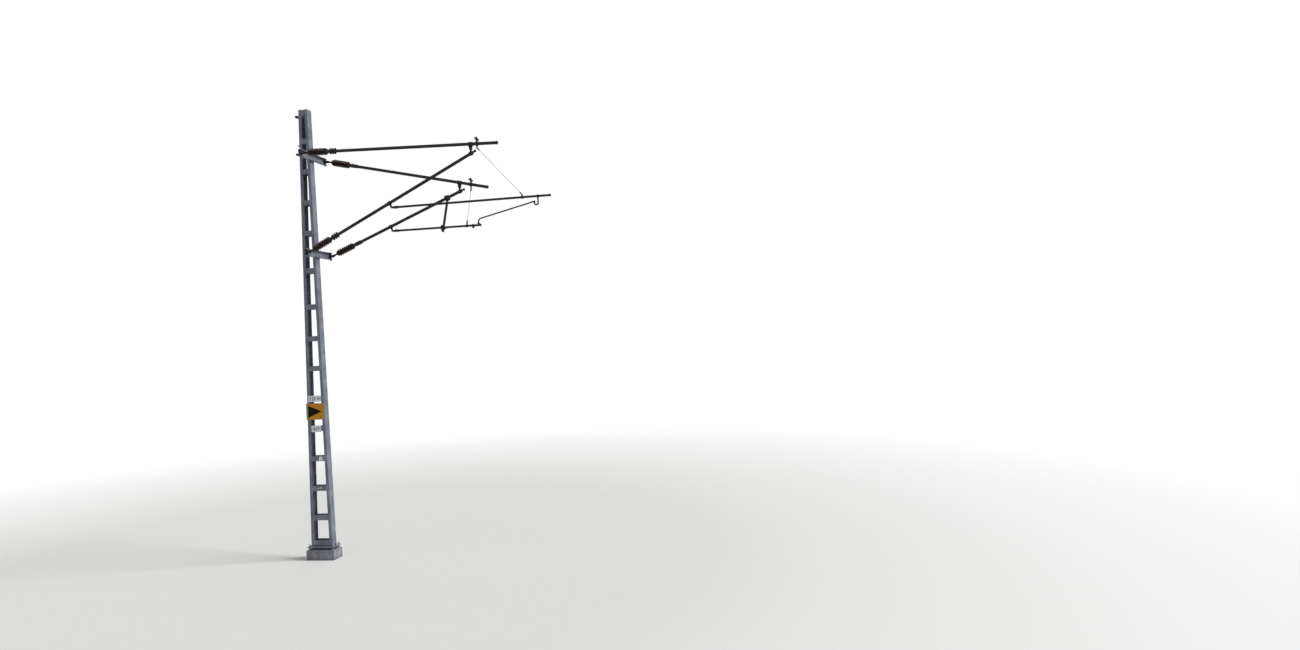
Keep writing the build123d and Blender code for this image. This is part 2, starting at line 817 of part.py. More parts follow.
# Cantilevers
frames = {}
for tag, size in cantilevers.items():
    y = size["side"] * hinge_y
    reach = hinge_reach + knuckle_reach
    top_knuckle = face_point(upper_arm_height, reach, y)
    low_knuckle = face_point(lower_arm_height, reach, y)
    top_pitch = size["top_pitch"]
    link_point = travel(top_knuckle, top_pitch, size["link_reach"])
    messenger_reach = size["link_reach"] + size["messenger_offset"]
    messenger_point = travel(top_knuckle, top_pitch, messenger_reach)
    end_clamp_point = link_point - Vector(0, 0, link_drop)
    span = end_clamp_point - low_knuckle
    diagonal_pitch = pitch_of(span)
    eye_point = travel(low_knuckle, diagonal_pitch, size["eye_reach"])
    arm_pin = travel(eye_point, diagonal_pitch, 0, -eye_drop)
    arm_pitch = size["arm_pitch"]
    stay_point = travel(arm_pin, arm_pitch, size["wire_reach"] - size["stay_inset"])
    stay_top = messenger_point - Vector(0, 0, stay_lug_drop)
    stay_bottom = travel(stay_point, arm_pitch, 0, stay_lug_rise)
    frames[tag] = {
        "low_knuckle": low_knuckle,
        "diagonal_pitch": diagonal_pitch,
        "diagonal_span": span.length,
        "arm_pin": arm_pin,
        "arm_pitch": arm_pitch,
        "wire_point": travel(arm_pin, arm_pitch, size["wire_reach"]),
        "messenger_wire": messenger_point + Vector(0, 0, messenger_rise),
    }

    with BuildPart() as swivels:
        add(swivel(upper_arm_height, y))
        add(swivel(lower_arm_height, y))
    export(swivels, f"swivels_{tag}")

    with BuildPart() as eye_caps:
        add(eye_cap(top_knuckle, top_pitch))
        add(eye_cap(low_knuckle, diagonal_pitch))
    export(eye_caps, f"eye_caps_{tag}")

    with BuildPart() as top_insulator:
        add(porcelain(top_knuckle, top_pitch))
    export(top_insulator, f"top_insulator_{tag}")
    with BuildPart() as diagonal_insulator:
        add(porcelain(low_knuckle, diagonal_pitch))
    export(diagonal_insulator, f"diagonal_insulator_{tag}")

    with BuildPart() as sockets:
        add(tube_socket(top_knuckle, top_pitch, size["ear_turn"]))
        add(tube_socket(low_knuckle, diagonal_pitch, size["ear_turn"]))
    export(sockets, f"tube_sockets_{tag}")

    tube_start = socket_start + 2 * seat
    top_axis = along_plane(top_knuckle, top_pitch)
    top_length = messenger_reach + size["top_overhang"]
    with BuildPart() as top_tube:
        add(tube(top_axis, tube_start, top_length, main_tube_diameter, main_tube_wall))
    export(top_tube, f"top_tube_{tag}")

    diagonal_axis = along_plane(low_knuckle, diagonal_pitch)
    diagonal_end = span.length + diagonal_overhang
    spigot_end = diagonal_end + spigot_length
    spigot = [
        (diagonal_end - tube_cap, spigot_diameter / 2),
        (spigot_end, spigot_diameter / 2),
        (spigot_end, spigot_head_diameter / 2),
        (spigot_end + spigot_head_length, spigot_head_diameter / 2),
    ]
    with BuildPart() as diagonal_tube:
        with BuildSketch(diagonal_axis.offset(tube_start)):
            Circle(main_radius)
        extrude(amount=diagonal_end - tube_start)
        with BuildSketch(diagonal_axis.offset(tube_start)):
            Circle(main_radius - main_tube_wall)
        extrude(amount=diagonal_end - tube_start - tube_cap, mode=Mode.SUBTRACT)
        add(turned(low_knuckle, diagonal_axis.z_dir, spigot))
    export(diagonal_tube, f"diagonal_tube_{tag}")

    with BuildPart() as link:
        add(top_link(link_point, top_pitch))
    export(link, f"top_link_{tag}")

    with BuildPart() as diagonal_clamps:
        add(lug_clamp(end_clamp_point, diagonal_pitch, 90, link_drop / 2, main_radius, band_width))
        eye_pitch = pitch_of(arm_pin - eye_point)
        add(lug_clamp(eye_point, diagonal_pitch, eye_pitch, eye_drop, main_radius, band_width))
    export(diagonal_clamps, f"diagonal_clamps_{tag}")

    with BuildPart() as arm:
        add(registration_arm(arm_pin, arm_pitch, size["wire_reach"] + size["arm_overhang"]))
    export(arm, f"registration_arm_{tag}")

    with BuildPart() as saddle_clamp:
        add(messenger_clamp(messenger_point, top_pitch))
    export(saddle_clamp, f"messenger_clamp_{tag}")

    with BuildPart() as stay:
        add(stay_wire(stay_top, stay_bottom))
        add(stay_clip(stay_point, arm_pitch))
    export(stay, f"stay_wire_{tag}")

# Drop bracket that hangs the steady arm from the long registration arm
drop_point = frames["a"]["wire_point"]
drop_axis = along_plane(drop_point, frames["a"]["arm_pitch"])
steady_pin = drop_point - Vector(drop_bracket_hook, 0, steady_pin_drop)
with BuildPart() as drop_bracket:
    add(band(drop_axis, arm_radius, clip_width))
    with BuildSketch(side_plane(drop_point)):
        with BuildLine():
            FilletPolyline(
                (0, -arm_radius),
                (0, -drop_bracket_depth),
                (-drop_bracket_hook, -drop_bracket_depth),
                (-drop_bracket_hook, -steady_pin_drop),
                radius=drop_bracket_bend,
            )
        trace(line_width=drop_bracket_bar)
        with Locations((-drop_bracket_hook, -steady_pin_drop)):
            Circle(steady_boss_diameter / 2)
            Circle(steady_pin_diameter / 2 + running_clearance, mode=Mode.SUBTRACT)
    extrude(amount=lug_thickness / 2, both=True)
    add(bore(drop_axis, arm_radius, clip_width), mode=Mode.SUBTRACT)
export(drop_bracket, "drop_bracket_a")

# Steady arm, a bent tube hinged on the drop bracket
bend_point = steady_pin - Vector(steady_reach, 0, steady_fall)
steady_tip = bend_point - Vector(0, 0, steady_drop)
steady_pitch = pitch_of(bend_point - steady_pin)
rod_start = travel(steady_pin, steady_pitch, steady_clevis_length)


def bent_rod(start, end, radius):
    """A round rod along the steady arm's straight runs and its bend."""
    with BuildLine() as path:
        FilletPolyline(start, bend_point, end, radius=steady_bend)
    with BuildPart() as rod:
        for run in path.edges():
            with BuildSketch(Plane(origin=run @ 0, z_dir=run % 0)):
                Circle(radius)
            if run.geom_type == GeomType.LINE:
                extrude(amount=run.length)
            else:
                bend_axis = Axis(run.arc_center, (run % 0).cross(run % 1))
                revolve(axis=bend_axis, revolution_arc=degrees(run.length / steady_bend))
    return rod.part


with BuildPart() as steady_arm:
    add(bent_rod(rod_start, steady_tip, steady_diameter / 2))
    bore_start = travel(rod_start, steady_pitch, tube_cap)
    bore_end = steady_tip + Vector(0, 0, tube_cap)
    add(bent_rod(bore_start, bore_end, steady_diameter / 2 - steady_wall), mode=Mode.SUBTRACT)
    for side in (-1, 1):
        shift = side * ((lug_thickness + clevis_cheek) / 2 + hinge_gap)
        add(
            flat_link(
                steady_pin, steady_pitch, steady_clevis_length, steady_diameter, clevis_cheek, shift
            )
        )
    add(cross_pin(steady_pin, steady_pin_diameter, lug_thickness + 2 * hinge_gap + 3 * clevis_cheek))
export(steady_arm, "steady_arm_a")

# Contact wire clamp at the steady arm's bent end
contact_wire_a = steady_tip - Vector(0, 0, contact_clamp_height)
with BuildPart() as contact_clamp_a:
    add(contact_clamp(steady_tip.Z - seat, contact_wire_a))
export(contact_clamp_a, "contact_clamp_a")

# Contact wire clamp under the short registration arm
contact_point = frames["b"]["wire_point"]
contact_axis = along_plane(contact_point, frames["b"]["arm_pitch"])
contact_wire_b = contact_point - Vector(0, 0, contact_drop)
with BuildPart() as contact_clamp_b:
    add(band(contact_axis, arm_radius, clip_width))
    add(contact_clamp(contact_point.Z, contact_wire_b))
    add(bore(contact_axis, arm_radius, contact_clamp_length), mode=Mode.SUBTRACT)
export(contact_clamp_b, "contact_clamp_b")

# Strut between the short cantilever's diagonal tube and its registration arm
short = frames["b"]
strut_y = Vector(0, main_radius + strut_radius + strut_gap, 0)
strut_top_reach = short["diagonal_span"] - strut_inset
diagonal_cross = travel(short["low_knuckle"], short["diagonal_pitch"], strut_top_reach)
arm_cross = travel(short["arm_pin"], short["arm_pitch"], strut_reach)
strut_run = arm_cross - diagonal_cross
strut_pitch = pitch_of(strut_run)
strut_axis = along_plane(diagonal_cross + strut_y, strut_pitch)
strut_end = strut_run.length + strut_overhang
with BuildPart() as strut:
    add(tube(strut_axis, -strut_overhang, strut_end, strut_diameter, strut_wall))
export(strut, "strut_b")

with BuildPart() as strut_clamps:
    for cross, pitch, radius in (
        (diagonal_cross, short["diagonal_pitch"], main_radius),
        (arm_cross, short["arm_pitch"], arm_radius),
    ):
        held_axis = along_plane(cross, pitch)
        cross_axis = along_plane(cross + strut_y, strut_pitch)
        with BuildPart(mode=Mode.PRIVATE) as clamp:
            add(band(held_axis, radius, band_width, 90))
            add(band(cross_axis, strut_radius, band_width, 90))
            with BuildSketch(side_plane(cross)):
                Circle(strut_bridge_diameter / 2)
            extrude(amount=-strut_y.Y)
            add(bore(held_axis, radius, 2 * band_width), mode=Mode.SUBTRACT)
            add(bore(cross_axis, strut_radius, 2 * band_width), mode=Mode.SUBTRACT)
        add(clamp.part)
export(strut_clamps, "strut_clamps_b")

print("hinge line", face_point(lower_arm_height, hinge_reach, -hinge_y))
print("steady pin", steady_pin)
print("contact wires", contact_wire_a, contact_wire_b)
print("messenger wires", frames["a"]["messenger_wire"], frames["b"]["messenger_wire"])
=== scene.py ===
from functools import partial
from math import atan, atan2, copysign, cos, degrees, pi, radians, sin, sqrt, tan

import bmesh
import bpy
from mathutils import Matrix, Vector, noise


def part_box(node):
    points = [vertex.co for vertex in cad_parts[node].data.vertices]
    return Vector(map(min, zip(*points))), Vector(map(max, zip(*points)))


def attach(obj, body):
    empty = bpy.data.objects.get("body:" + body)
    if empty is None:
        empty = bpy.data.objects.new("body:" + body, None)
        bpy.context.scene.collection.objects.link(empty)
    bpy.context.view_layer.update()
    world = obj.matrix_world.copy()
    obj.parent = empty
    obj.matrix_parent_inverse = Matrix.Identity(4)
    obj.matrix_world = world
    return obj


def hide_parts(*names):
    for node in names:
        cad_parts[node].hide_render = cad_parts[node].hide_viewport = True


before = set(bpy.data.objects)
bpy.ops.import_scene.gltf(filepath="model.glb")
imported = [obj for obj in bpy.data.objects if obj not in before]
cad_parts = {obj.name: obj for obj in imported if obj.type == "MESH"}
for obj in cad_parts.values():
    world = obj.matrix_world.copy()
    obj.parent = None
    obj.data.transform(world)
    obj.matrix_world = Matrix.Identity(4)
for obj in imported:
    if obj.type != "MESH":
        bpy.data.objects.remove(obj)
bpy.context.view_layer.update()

scene = bpy.context.scene
print("catenary mast: model loaded,", len(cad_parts), "nodes")

# Driving sizes in millimetres, the same as the part's own. Degrees for angles.
mastSizes = {
    "height": 9040, "legFoot": 260, "footWidth": 455, "topWidth": 190, "channelDepth": 140,
    "channelFlange": 60, "channelWeb": 7, "battenHeight": 100, "battenThickness": 8,
    "battenInset": 28, "upperArm": 8063, "lowerArm": 6097, "armWeb": 7, "hingeY": 390,
    "hingeReach": 36, "knuckleReach": 91,
    "seam": 0.2,  # between two faces that are bolted together
}
fittingSizes = {
    "mainRadius": 30.15, "armRadius": 21.2, "strutRadius": 24.15, "bandWall": 8.2,
    "earReach": 10,  # bolt centre outside the band
    "earThickness": 18, "linkDrop": 180, "linkBolts": (-26, 26), "eyeDrop": 97, "messengerRise": 88,
    "stayLugDrop": 80, "stayLugRise": 50,
    "cheekFace": 18.2,  # outer face of the link's and the fork's cheeks
    "armCheekFace": 12.2, "stayCheekFace": 11.2, "clevisLength": 55, "socketStart": 558,
    "socketLength": 150, "socketEars": 3, "socketEar": 46, "socketEarThickness": 26,
}
cantilevers = {
    "a": {
        "side": -1, "topPitch": -2.83, "linkReach": 3475, "messengerOffset": 127, "eyeReach": 1920,
        "armPitch": -0.6, "wireReach": 2931, "stayInset": 304, "socketWay": "x",
    },
    "b": {
        "side": 1, "topPitch": -13.53, "linkReach": 2955, "messengerOffset": 249, "eyeReach": 1412,
        "armPitch": -0.86, "wireReach": 1738, "stayInset": 130, "socketWay": "y",
    },
}
legRise = mastSizes["height"] - mastSizes["legFoot"]
taper = (mastSizes["footWidth"] - mastSizes["topWidth"]) / 2 / legRise
lean = atan(taper)
battenLevels = [331, 827, 1411, 2004, 2601, 3202, 3805, 4405, 5044, 5771, 6529, 7146, 7774, 8390, 8980]


def both(value):
    return (-value, value)


# Places on the mast and along the tubes
def placeFrom(origin, xWay, zWay):
    place = Matrix((xWay, zWay.cross(xWay), zWay)).transposed().to_4x4()
    place.translation = origin
    return place


def nearPlace(origin):
    # Z points along the track to the near side, where the heads of cross bolts are
    return placeFrom(origin, Vector((1, 0, 0)), Vector((0, -1, 0)))


def halfWidth(level):
    return mastSizes["footWidth"] / 2 - (level - mastSizes["legFoot"]) * taper


def facePlace(level, reach=0, y=0, side=1):
    # X points out of the mast's face, Z up along it
    out = Vector((side * cos(lean), 0, sin(lean)))
    up = Vector((-side * sin(lean), 0, cos(lean)))
    return placeFrom(Vector((side * halfWidth(level), y, level)) + out * reach, out, up)


def alongPlace(point, pitch):
    # Z runs along a tube, X is the track's own direction and Y the upper side
    way = Vector((cos(radians(pitch)), 0, sin(radians(pitch))))
    return placeFrom(point, Vector((0, 1, 0)), way)


def travel(point, pitch, distance, rise=0):
    return alongPlace(point, pitch) @ Vector((0, rise, distance))


def pitchOf(run):
    return degrees(atan2(run.z, run.x))


def rotation(angle, axis):
    return Matrix.Rotation(radians(angle), 4, axis)


# Turns a bolt so that its head faces along that axis
boltTurns = {"x": rotation(90, "Y"), "-x": rotation(-90, "Y"), "y": rotation(-90, "X")}


def boltPlace(place, offset, way):
    return place @ Matrix.Translation(offset) @ boltTurns[way]


# Shapes, all drawn in millimetres
def circle(sides):
    return [(cos(2 * pi * step / sides), sin(2 * pi * step / sides)) for step in range(sides)]


def lathe(bm, place, outline, sides):
    # The outline gives distances along Z and radii; a radius of 0 closes an end
    rings = []
    for along, radius in outline:
        if radius == 0:
            rings.append([bm.verts.new(place @ Vector((0, 0, along)))] * sides)
            continue
        ring = [Vector((radius * x, radius * y, along)) for x, y in circle(sides)]
        rings.append([bm.verts.new(place @ spot) for spot in ring])
    skinRings(bm, rings, sides)


def skinRings(bm, rings, sides):
    for low, high in zip(rings, rings[1:]):
        for step in range(sides):
            after = (step + 1) % sides
            # At a closed end two of the four corners are one
            corners = list(dict.fromkeys((low[step], low[after], high[after], high[step])))
            if len(corners) > 2:
                bm.faces.new(corners)


def sweepRod(bm, path, radii, sides):
    # A round rod along points, one radius for each, with flat ends
    rings = [[bm.verts.new(path[0])] * sides]
    across = None
    for index, point in enumerate(path):
        before = path[max(index - 1, 0)]
        after = path[min(index + 1, len(path) - 1)]
        way = (after - before).normalized()
        if across is None:
            across = way.orthogonal()
        across = (across - way * across.dot(way)).normalized()
        other = way.cross(across)
        ring = [across * x + other * y for x, y in circle(sides)]
        rings.append([bm.verts.new(point + spot * radii[index]) for spot in ring])
    rings.append([bm.verts.new(path[-1])] * sides)
    skinRings(bm, rings, sides)


def addSheet(bm, place, outline, near, far):
    # A flat piece: outline in X and Z, thickness along Y
    front = [bm.verts.new(place @ Vector((x, near, z))) for x, z in outline]
    back = [bm.verts.new(place @ Vector((x, far, z))) for x, z in outline]
    bm.faces.new(front)
    bm.faces.new(back[::-1])
    for index in range(len(outline)):
        after = (index + 1) % len(outline)
        bm.faces.new((front[index], back[index], back[after], front[after]))


def roundCorners(corners, radius, steps):
    # Takes the sharpness off a flat outline's corners
    outline = []
    for index, corner in enumerate(corners):
        corner = Vector(corner)
        before = (Vector(corners[index - 1]) - corner).normalized()
        after = (Vector(corners[(index + 1) % len(corners)]) - corner).normalized()
        half = before.angle(after) / 2
        middle = corner + (before + after).normalized() * (radius / sin(half))
        start = corner + before * (radius / tan(half)) - middle
        sweep = (pi - 2 * half) * (1 if before.cross(after) < 0 else -1)
        for step in range(steps + 1):
            turned = Matrix.Rotation(sweep * step / steps, 2) @ start
            outline.append(tuple(middle + turned))
    return outline


def finishPiece(name, bm, material, body="mast", sharpAngle=35):
    # From millimetres to metres, smooth but for its sharp edges, and riding on its body
    bmesh.ops.transform(bm, matrix=Matrix.Scale(0.001, 4), verts=bm.verts)
    bmesh.ops.recalc_face_normals(bm, faces=bm.faces)
    for face in bm.faces:
        face.smooth = True
    for edge in bm.edges:
        if len(edge.link_faces) == 2 and edge.calc_face_angle(0) > radians(sharpAngle):
            edge.smooth = False
    mesh = bpy.data.meshes.new(name)
    bm.to_mesh(mesh)
    bm.free()
    return addPiece(name, mesh, material, body)


def newObject(name, content):
    made = bpy.data.objects.new(name, content)
    scene.collection.objects.link(made)
    return made


def addPiece(name, mesh, material, body):
    mesh.materials.append(material)
    piece = newObject(name, mesh)
    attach(piece, body)
    return piece


# Bolts: across is the spanner size, plate the washer's thickness, tail the thread past the nut
boltSizes = ("thread", "across", "head", "nut", "washer", "plate", "tail")
boltKinds = {
    "m20": (20, 30, 12.5, 16, 37, 3, 7),
    "m16": (16, 24, 10, 13, 30, 3, 6),
    "m14": (14, 22, 9, 11, 28, 2.5, 6),
    "m12": (12, 19, 7.5, 10, 24, 2.5, 6),
    "m10": (10, 17, 6.4, 8, 20, 2, 5),
    "m8": (8, 13, 5.3, 6.5, 16, 1.6, 4),
}
boltKinds = {kind: dict(zip(boltSizes, sizes)) for kind, sizes in boltKinds.items()}
chamferShares = {"rise": 0.12, "seat": 0.94, "crown": 0.84}  # of a hexagon's corner radius
threadShares = {"pitch": 0.13, "depth": 0.6, "shown": 0.6, "end": 0.5}  # pitch is of the diameter
threadSizes = {"pitchBase": 0.3, "sides": 14}
washerSides = 20


def addDisk(bm, place, low, high, radius, sides=washerSides):
    lathe(bm, place, [(low, 0), (low, radius), (high, radius), (high, 0)], sides)


def addHexagon(bm, place, start, end, across):
    corner = across / sqrt(3)
    rise = copysign(chamferShares["rise"] * corner, end - start)
    outline = [(start, 0), (start, corner * chamferShares["seat"]), (start + rise / 2, corner)]
    outline += [(end - rise, corner), (end, corner * chamferShares["crown"]), (end, 0)]
    lathe(bm, place, outline, 6)


def addThread(bm, place, start, length, diameter, way):
    pitch = threadShares["pitch"] * diameter + threadSizes["pitchBase"]
    radius = diameter / 2
    root = radius - threadShares["depth"] * pitch * threadShares["shown"]
    outline = [(start, 0)]
    for turn in range(max(2, round(length / pitch))):
        crest = start + way * turn * pitch
        outline += [(crest, radius), (crest + way * pitch / 2, root)]
    end = start + way * length
    outline += [(end, radius - threadShares["end"] * pitch), (end, 0)]
    lathe(bm, place, outline, threadSizes["sides"])


def addBolt(bm, place, kind, grip):
    # Z runs along the bolt towards its head, the origin is the middle of what it holds
    bolt = boltKinds[kind]
    for side, height in ((1, bolt["head"]), (-1, bolt["nut"])):
        seat = side * grip / 2
        top = seat + side * bolt["plate"]
        addDisk(bm, place, seat, top, bolt["washer"] / 2)
        addHexagon(bm, place, top, top + side * height, bolt["across"])
    nutEnd = -grip / 2 - bolt["plate"] - bolt["nut"]
    addThread(bm, place, nutEnd, bolt["tail"], bolt["thread"], -1)


def fourBolts(bm, place, y, z, kind, grip):
    for across in both(y):
        for up in both(z):
            addBolt(bm, boltPlace(place, (0, across, up), "x"), kind, grip)


splitPinSizes = {
    "sides": 6, "eyeSteps": 8,
    "spread": (0, 0.4, 1.6, 3.4),  # of the legs' points from the middle, in wires
    "alongTail": 0.55, "reachShare": 0.6, "wireShare": 0.2,  # the last two are of the bolt's thread
}


def addSplitPin(bm, place, distance, reach, wire):
    # A pin across the bolt, its eye on one side and two bent legs on the other
    eye = wire * 2
    ring = circle(splitPinSizes["eyeSteps"])
    loop = [place @ Vector((reach + eye - eye * x, eye * y, distance)) for x, y in ring + ring[:1]]
    sweepRod(bm, loop, [wire / 2] * len(loop), splitPinSizes["sides"])
    for side in both(wire):
        leg = zip((reach, -reach, -reach - wire, -reach + wire), splitPinSizes["spread"])
        points = [place @ Vector((x, side * spread, distance)) for x, spread in leg]
        sweepRod(bm, points, [wire / 2] * len(points), splitPinSizes["sides"])


weldSizes = {
    "bead": 4.2, "endShare": 0.55, "ripple": 4, "rippleHeight": 0.35, "wander": 0.7,
    "wanderScale": 0.045, "sides": 7,
    "seed": 1,  # the same wander each run
    "short": 3,  # of the flange's tip
    "sink": 1,  # bead centre off the corner
}
noise.seed_set(weldSizes["seed"])


def weldBead(bm, start, end):
    # Rippled bead, its centre on the corner that it fills
    run = end - start
    count = max(3, round(run.length / weldSizes["ripple"]))
    path = []
    radii = []
    for step in range(count + 1):
        point = start + run * (step / count)
        path.append(point + noise.noise_vector(point * weldSizes["wanderScale"]) * weldSizes["wander"])
        share = weldSizes["endShare"] if step in (0, count) else 1
        height = weldSizes["rippleHeight"] if step % 2 else -weldSizes["rippleHeight"]
        radii.append(share * (weldSizes["bead"] + height))
    sweepRod(bm, path, radii, weldSizes["sides"])


# Materials
def toLinear(hexCode):
    channels = [int(hexCode[i : i + 2], 16) / 255 for i in (1, 3, 5)]
    return [c / 12.92 if c <= 0.04045 else ((c + 0.055) / 1.055) ** 2.4 for c in channels] + [1]


def perMetre(millimetres):
    # A pattern's scale from the size of one of its cells
    return 1000 / millimetres


def grey(value):
    return (value, value, value, 1)


def shades(looks, **positions):
    # Ramp stops in named colours
    return [(position, toLinear(looks[name])) for name, position in positions.items()]


def fadeIn(start, end, most):
    return [(start, grey(0)), (end, grey(most))]


def setSockets(node, values):
    # A number is set, an output is linked, and a node stands for its first live output
    for socket, value in values.items():
        if isinstance(value, bpy.types.Node):
            value = next(output for output in value.outputs if output.enabled)
        if isinstance(value, bpy.types.NodeSocket):
            node.id_data.links.new(value, node.inputs[socket])
        else:
            node.inputs[socket].default_value = value


def addNode(tree, kind, inputs=None, stops=None, **settings):
    node = tree.nodes.new("ShaderNode" + kind)
    for name, value in settings.items():
        setattr(node, name, value)
    setSockets(node, inputs or {})
    if stops:
        ramp = node.color_ramp
        while len(ramp.elements) < len(stops):
            ramp.elements.new(0.5)
        for element, (position, colour) in zip(ramp.elements, stops):
            element.position = position
            element.color = colour
    return node


def startMaterial(name, looks=None, **patterns):
    # Also gives addNode for its tree, and a noise for each pattern: its detail and roughness
    material = bpy.data.materials.new(name)
    material.use_nodes = True
    add = partial(addNode, material.node_tree)
    spot = add("TexCoord").outputs["Object"]
    noises = []
    for key, (detail, roughness) in patterns.items():
        sockets = {"Vector": spot, "Scale": perMetre(looks[key])}
        noises.append(add("TexNoise", {**sockets, "Detail": detail, "Roughness": roughness}))
    return material, add, spot, *noises


def finishMaterial(material, looks, colour, relief, gloss=None, span=(0.3, 0.7)):
    # Joins colour, roughness and relief to the shader; what is even all over is set on its own sockets
    add = partial(addNode, material.node_tree)
    roughness = looks["roughness"]
    if gloss:
        ends = {"From Min": span[0], "From Max": span[1], "To Min": roughness[0], "To Max": roughness[1]}
        roughness = add("MapRange", {"Value": gloss, **ends})
    strength, depth = looks["relief"]
    bump = add("Bump", {"Height": relief, "Strength": strength, "Distance": depth / 1000})
    shader = material.node_tree.nodes["Principled BSDF"]
    setSockets(shader, {"Base Color": colour, "Roughness": roughness, "Normal": bump})
    for socket, key in (("Metallic", "metallic"), ("Specular IOR Level", "specular"), ("IOR", "ior")):
        if key in looks:
            setSockets(shader, {socket: looks[key]})
    return material


# Hot-dip galvanised rolled steel: zinc crystals under a dull blue-grey skin, with run-off streaks
galvanisedLooks = {
    "deep": "#545966",
    "body": "#6B707D",
    "pale": "#898E9B",
    "whiteRust": "#949AA4",
    "stain": "#585350",
    "crystal": 10,  # mm, at the large end of real spangle so that it shows
    "patch": 230, "streakWide": 24, "streakLong": 620, "grain": 3, "metallic": 0.15,
    "roughness": (0.5, 0.75), "specular": 0.3,
    "relief": (0.18, 1.2),  # strength, and depth in mm
}


def galvanisedSteel(name, looks):
    material, add, spot, patches, grain = startMaterial(name, looks, patch=(5, 0.6), grain=(3, 0.5))
    crystals = add("TexVoronoi", {"Vector": spot, "Scale": perMetre(looks["crystal"])})
    wide, tall = perMetre(looks["streakWide"]), perMetre(looks["streakLong"])
    stretch = add("Mapping", {"Vector": spot, "Scale": (wide, wide, tall)})
    streaks = add("TexNoise", {"Vector": stretch, "Scale": 1, "Detail": 4})
    cell = add("SeparateColor", {"Color": crystals.outputs["Color"]})
    tint = add("ValToRGB", {"Fac": cell}, shades(looks, deep=0.1, body=0.5, pale=0.95))
    # Evens the crystals out
    coat = add("Mix", {0: 0.62, 6: tint, 7: toLinear(looks["body"])}, data_type="RGBA")
    for pattern, start, end, most, colour in (
        (patches, 0.42, 0.68, 0.75, "whiteRust"),
        (streaks, 0.5, 0.74, 0.6, "stain"),
        (grain, 0.56, 0.72, 0.65, "deep"),
    ):
        mask = add("ValToRGB", {"Fac": pattern}, fadeIn(start, end, most))
        coat = add("Mix", {0: mask, 6: coat, 7: toLinear(looks[colour])}, data_type="RGBA")
    relief = add("Math", {0: grain, 1: crystals.outputs["Distance"]}, operation="ADD")
    return finishMaterial(material, looks, coat, relief, patches)


# Galvanised tube: matt, painted brown-black as shade, paler where worn zinc shows
tubeLooks = dict(
    galvanisedLooks,
    deep="#1A1716", body="#292524", pale="#3D3937", whiteRust="#464241", stain="#32241B", crystal=8,
    patch=110, streakWide=70, streakLong=110, grain=2.5, metallic=0.2, specular=0.22,
)

# Hot-dip galvanised bolts: a brighter, smoother zinc than the rolled steel
boltLooks = {
    "deep": "#5E6268",
    "body": "#7C8188",
    "pale": "#989CA1",
    "whiteRust": "#9C9D9E",
    "stain": "#6A5A4C",
    "crystal": 9, "patch": 40, "streakWide": 20, "streakLong": 60, "grain": 1.5, "metallic": 0.5,
    "roughness": (0.35, 0.55), "specular": 0.4, "relief": (0.18, 1.2),
}
# Bolts on the cantilevers and clamps: the same zinc, darkened as painted shade like the tubes
darkBoltLooks = dict(
    boltLooks, deep="#2B2A2A", body="#454343", pale="#5A5959", whiteRust="#5C5B5B", stain="#46362B"
)
# Steel strand: as dark as the tubes, the same painted shade, with a faint gleam along its wires
strandLooks = dict(
    darkBoltLooks, deep="#1C1A1A", body="#292726", pale="#3A3837", whiteRust="#3A3837", stain="#2E2520",
    specular=0.2,
)
# Weld metal under zinc: a little paler and brighter than the plates beside it
weldLooks = dict(boltLooks, deep="#6B7079", body="#858B94", pale="#A4A9B0", patch=60, grain=2)
# Fresh zinc plating: nearly white, and what catches the eye at the mast's foot
earthLooks = dict(
    boltLooks, deep="#B9BCC0", body="#D2D4D6", pale="#E6E7E8", whiteRust="#DEDEDC", stain="#B5A68F"
)

# Ductile iron casting, galvanised: a coarse sand-cast skin, painted nearly black as shade like the tubes
castingLooks = {
    "deep": "#1A1818",
    "body": "#272424",
    "pale": "#3A3737",
    "rust": "#35251C",
    "sand": 2.6, "patch": 90, "metallic": 0.2, "roughness": (0.75, 0.5), "specular": 0.22,
    "relief": (0.35, 1.5),
}


def castIron(name, looks):
    material, add, spot, sand, patches = startMaterial(name, looks, sand=(2, 0.7), patch=(6, 0.5))
    pits = add("TexVoronoi", {"Vector": spot, "Scale": perMetre(looks["sand"] * 2)})
    tint = add("ValToRGB", {"Fac": patches}, shades(looks, deep=0.3, body=0.52, pale=0.78))
    mask = add("ValToRGB", {"Fac": sand}, fadeIn(0.55, 0.75, 0.7))
    coat = add("Mix", {0: mask, 6: tint, 7: toLinear(looks["rust"])}, data_type="RGBA")
    relief = add("Math", {0: sand, 1: pits.outputs["Distance"]}, operation="ADD")
    return finishMaterial(material, looks, coat, relief, patches)


# Glazed porcelain: a thick brown glaze, glossy and a little uneven, with dust on what faces up; its
# brown is darkened to nearly black as painted shade
glazeLooks = {
    "deep": "#1C0F0A",
    "body": "#2E1810",
    "thin": "#4A2818",
    "dust": "#544A42",
    "flow": 34, "ripple": 7, "ior": 1.52, "roughness": (0.2, 0.55), "specular": 0.32,
    "relief": (0.12, 0.8),
}


def glazedPorcelain(name, looks):
    material, add, _, flow, ripple = startMaterial(name, looks, flow=(3, 0.5), ripple=(1, 0.5))
    tint = add("ValToRGB", {"Fac": flow}, shades(looks, deep=0.3, body=0.55, thin=0.8))
    upward = add("SeparateXYZ", {0: add("NewGeometry").outputs["Normal"]})
    ends = {"From Min": 0.5, "From Max": 1, "To Max": 0.55}
    settled = add("MapRange", {"Value": upward.outputs[2], **ends})
    patchy = add("Math", {0: settled, 1: flow}, operation="MULTIPLY")
    coat = add("Mix", {0: patchy, 6: tint, 7: toLinear(looks["dust"])}, data_type="RGBA")
    return finishMaterial(material, looks, coat, ripple, patchy, span=(0, 0.4))


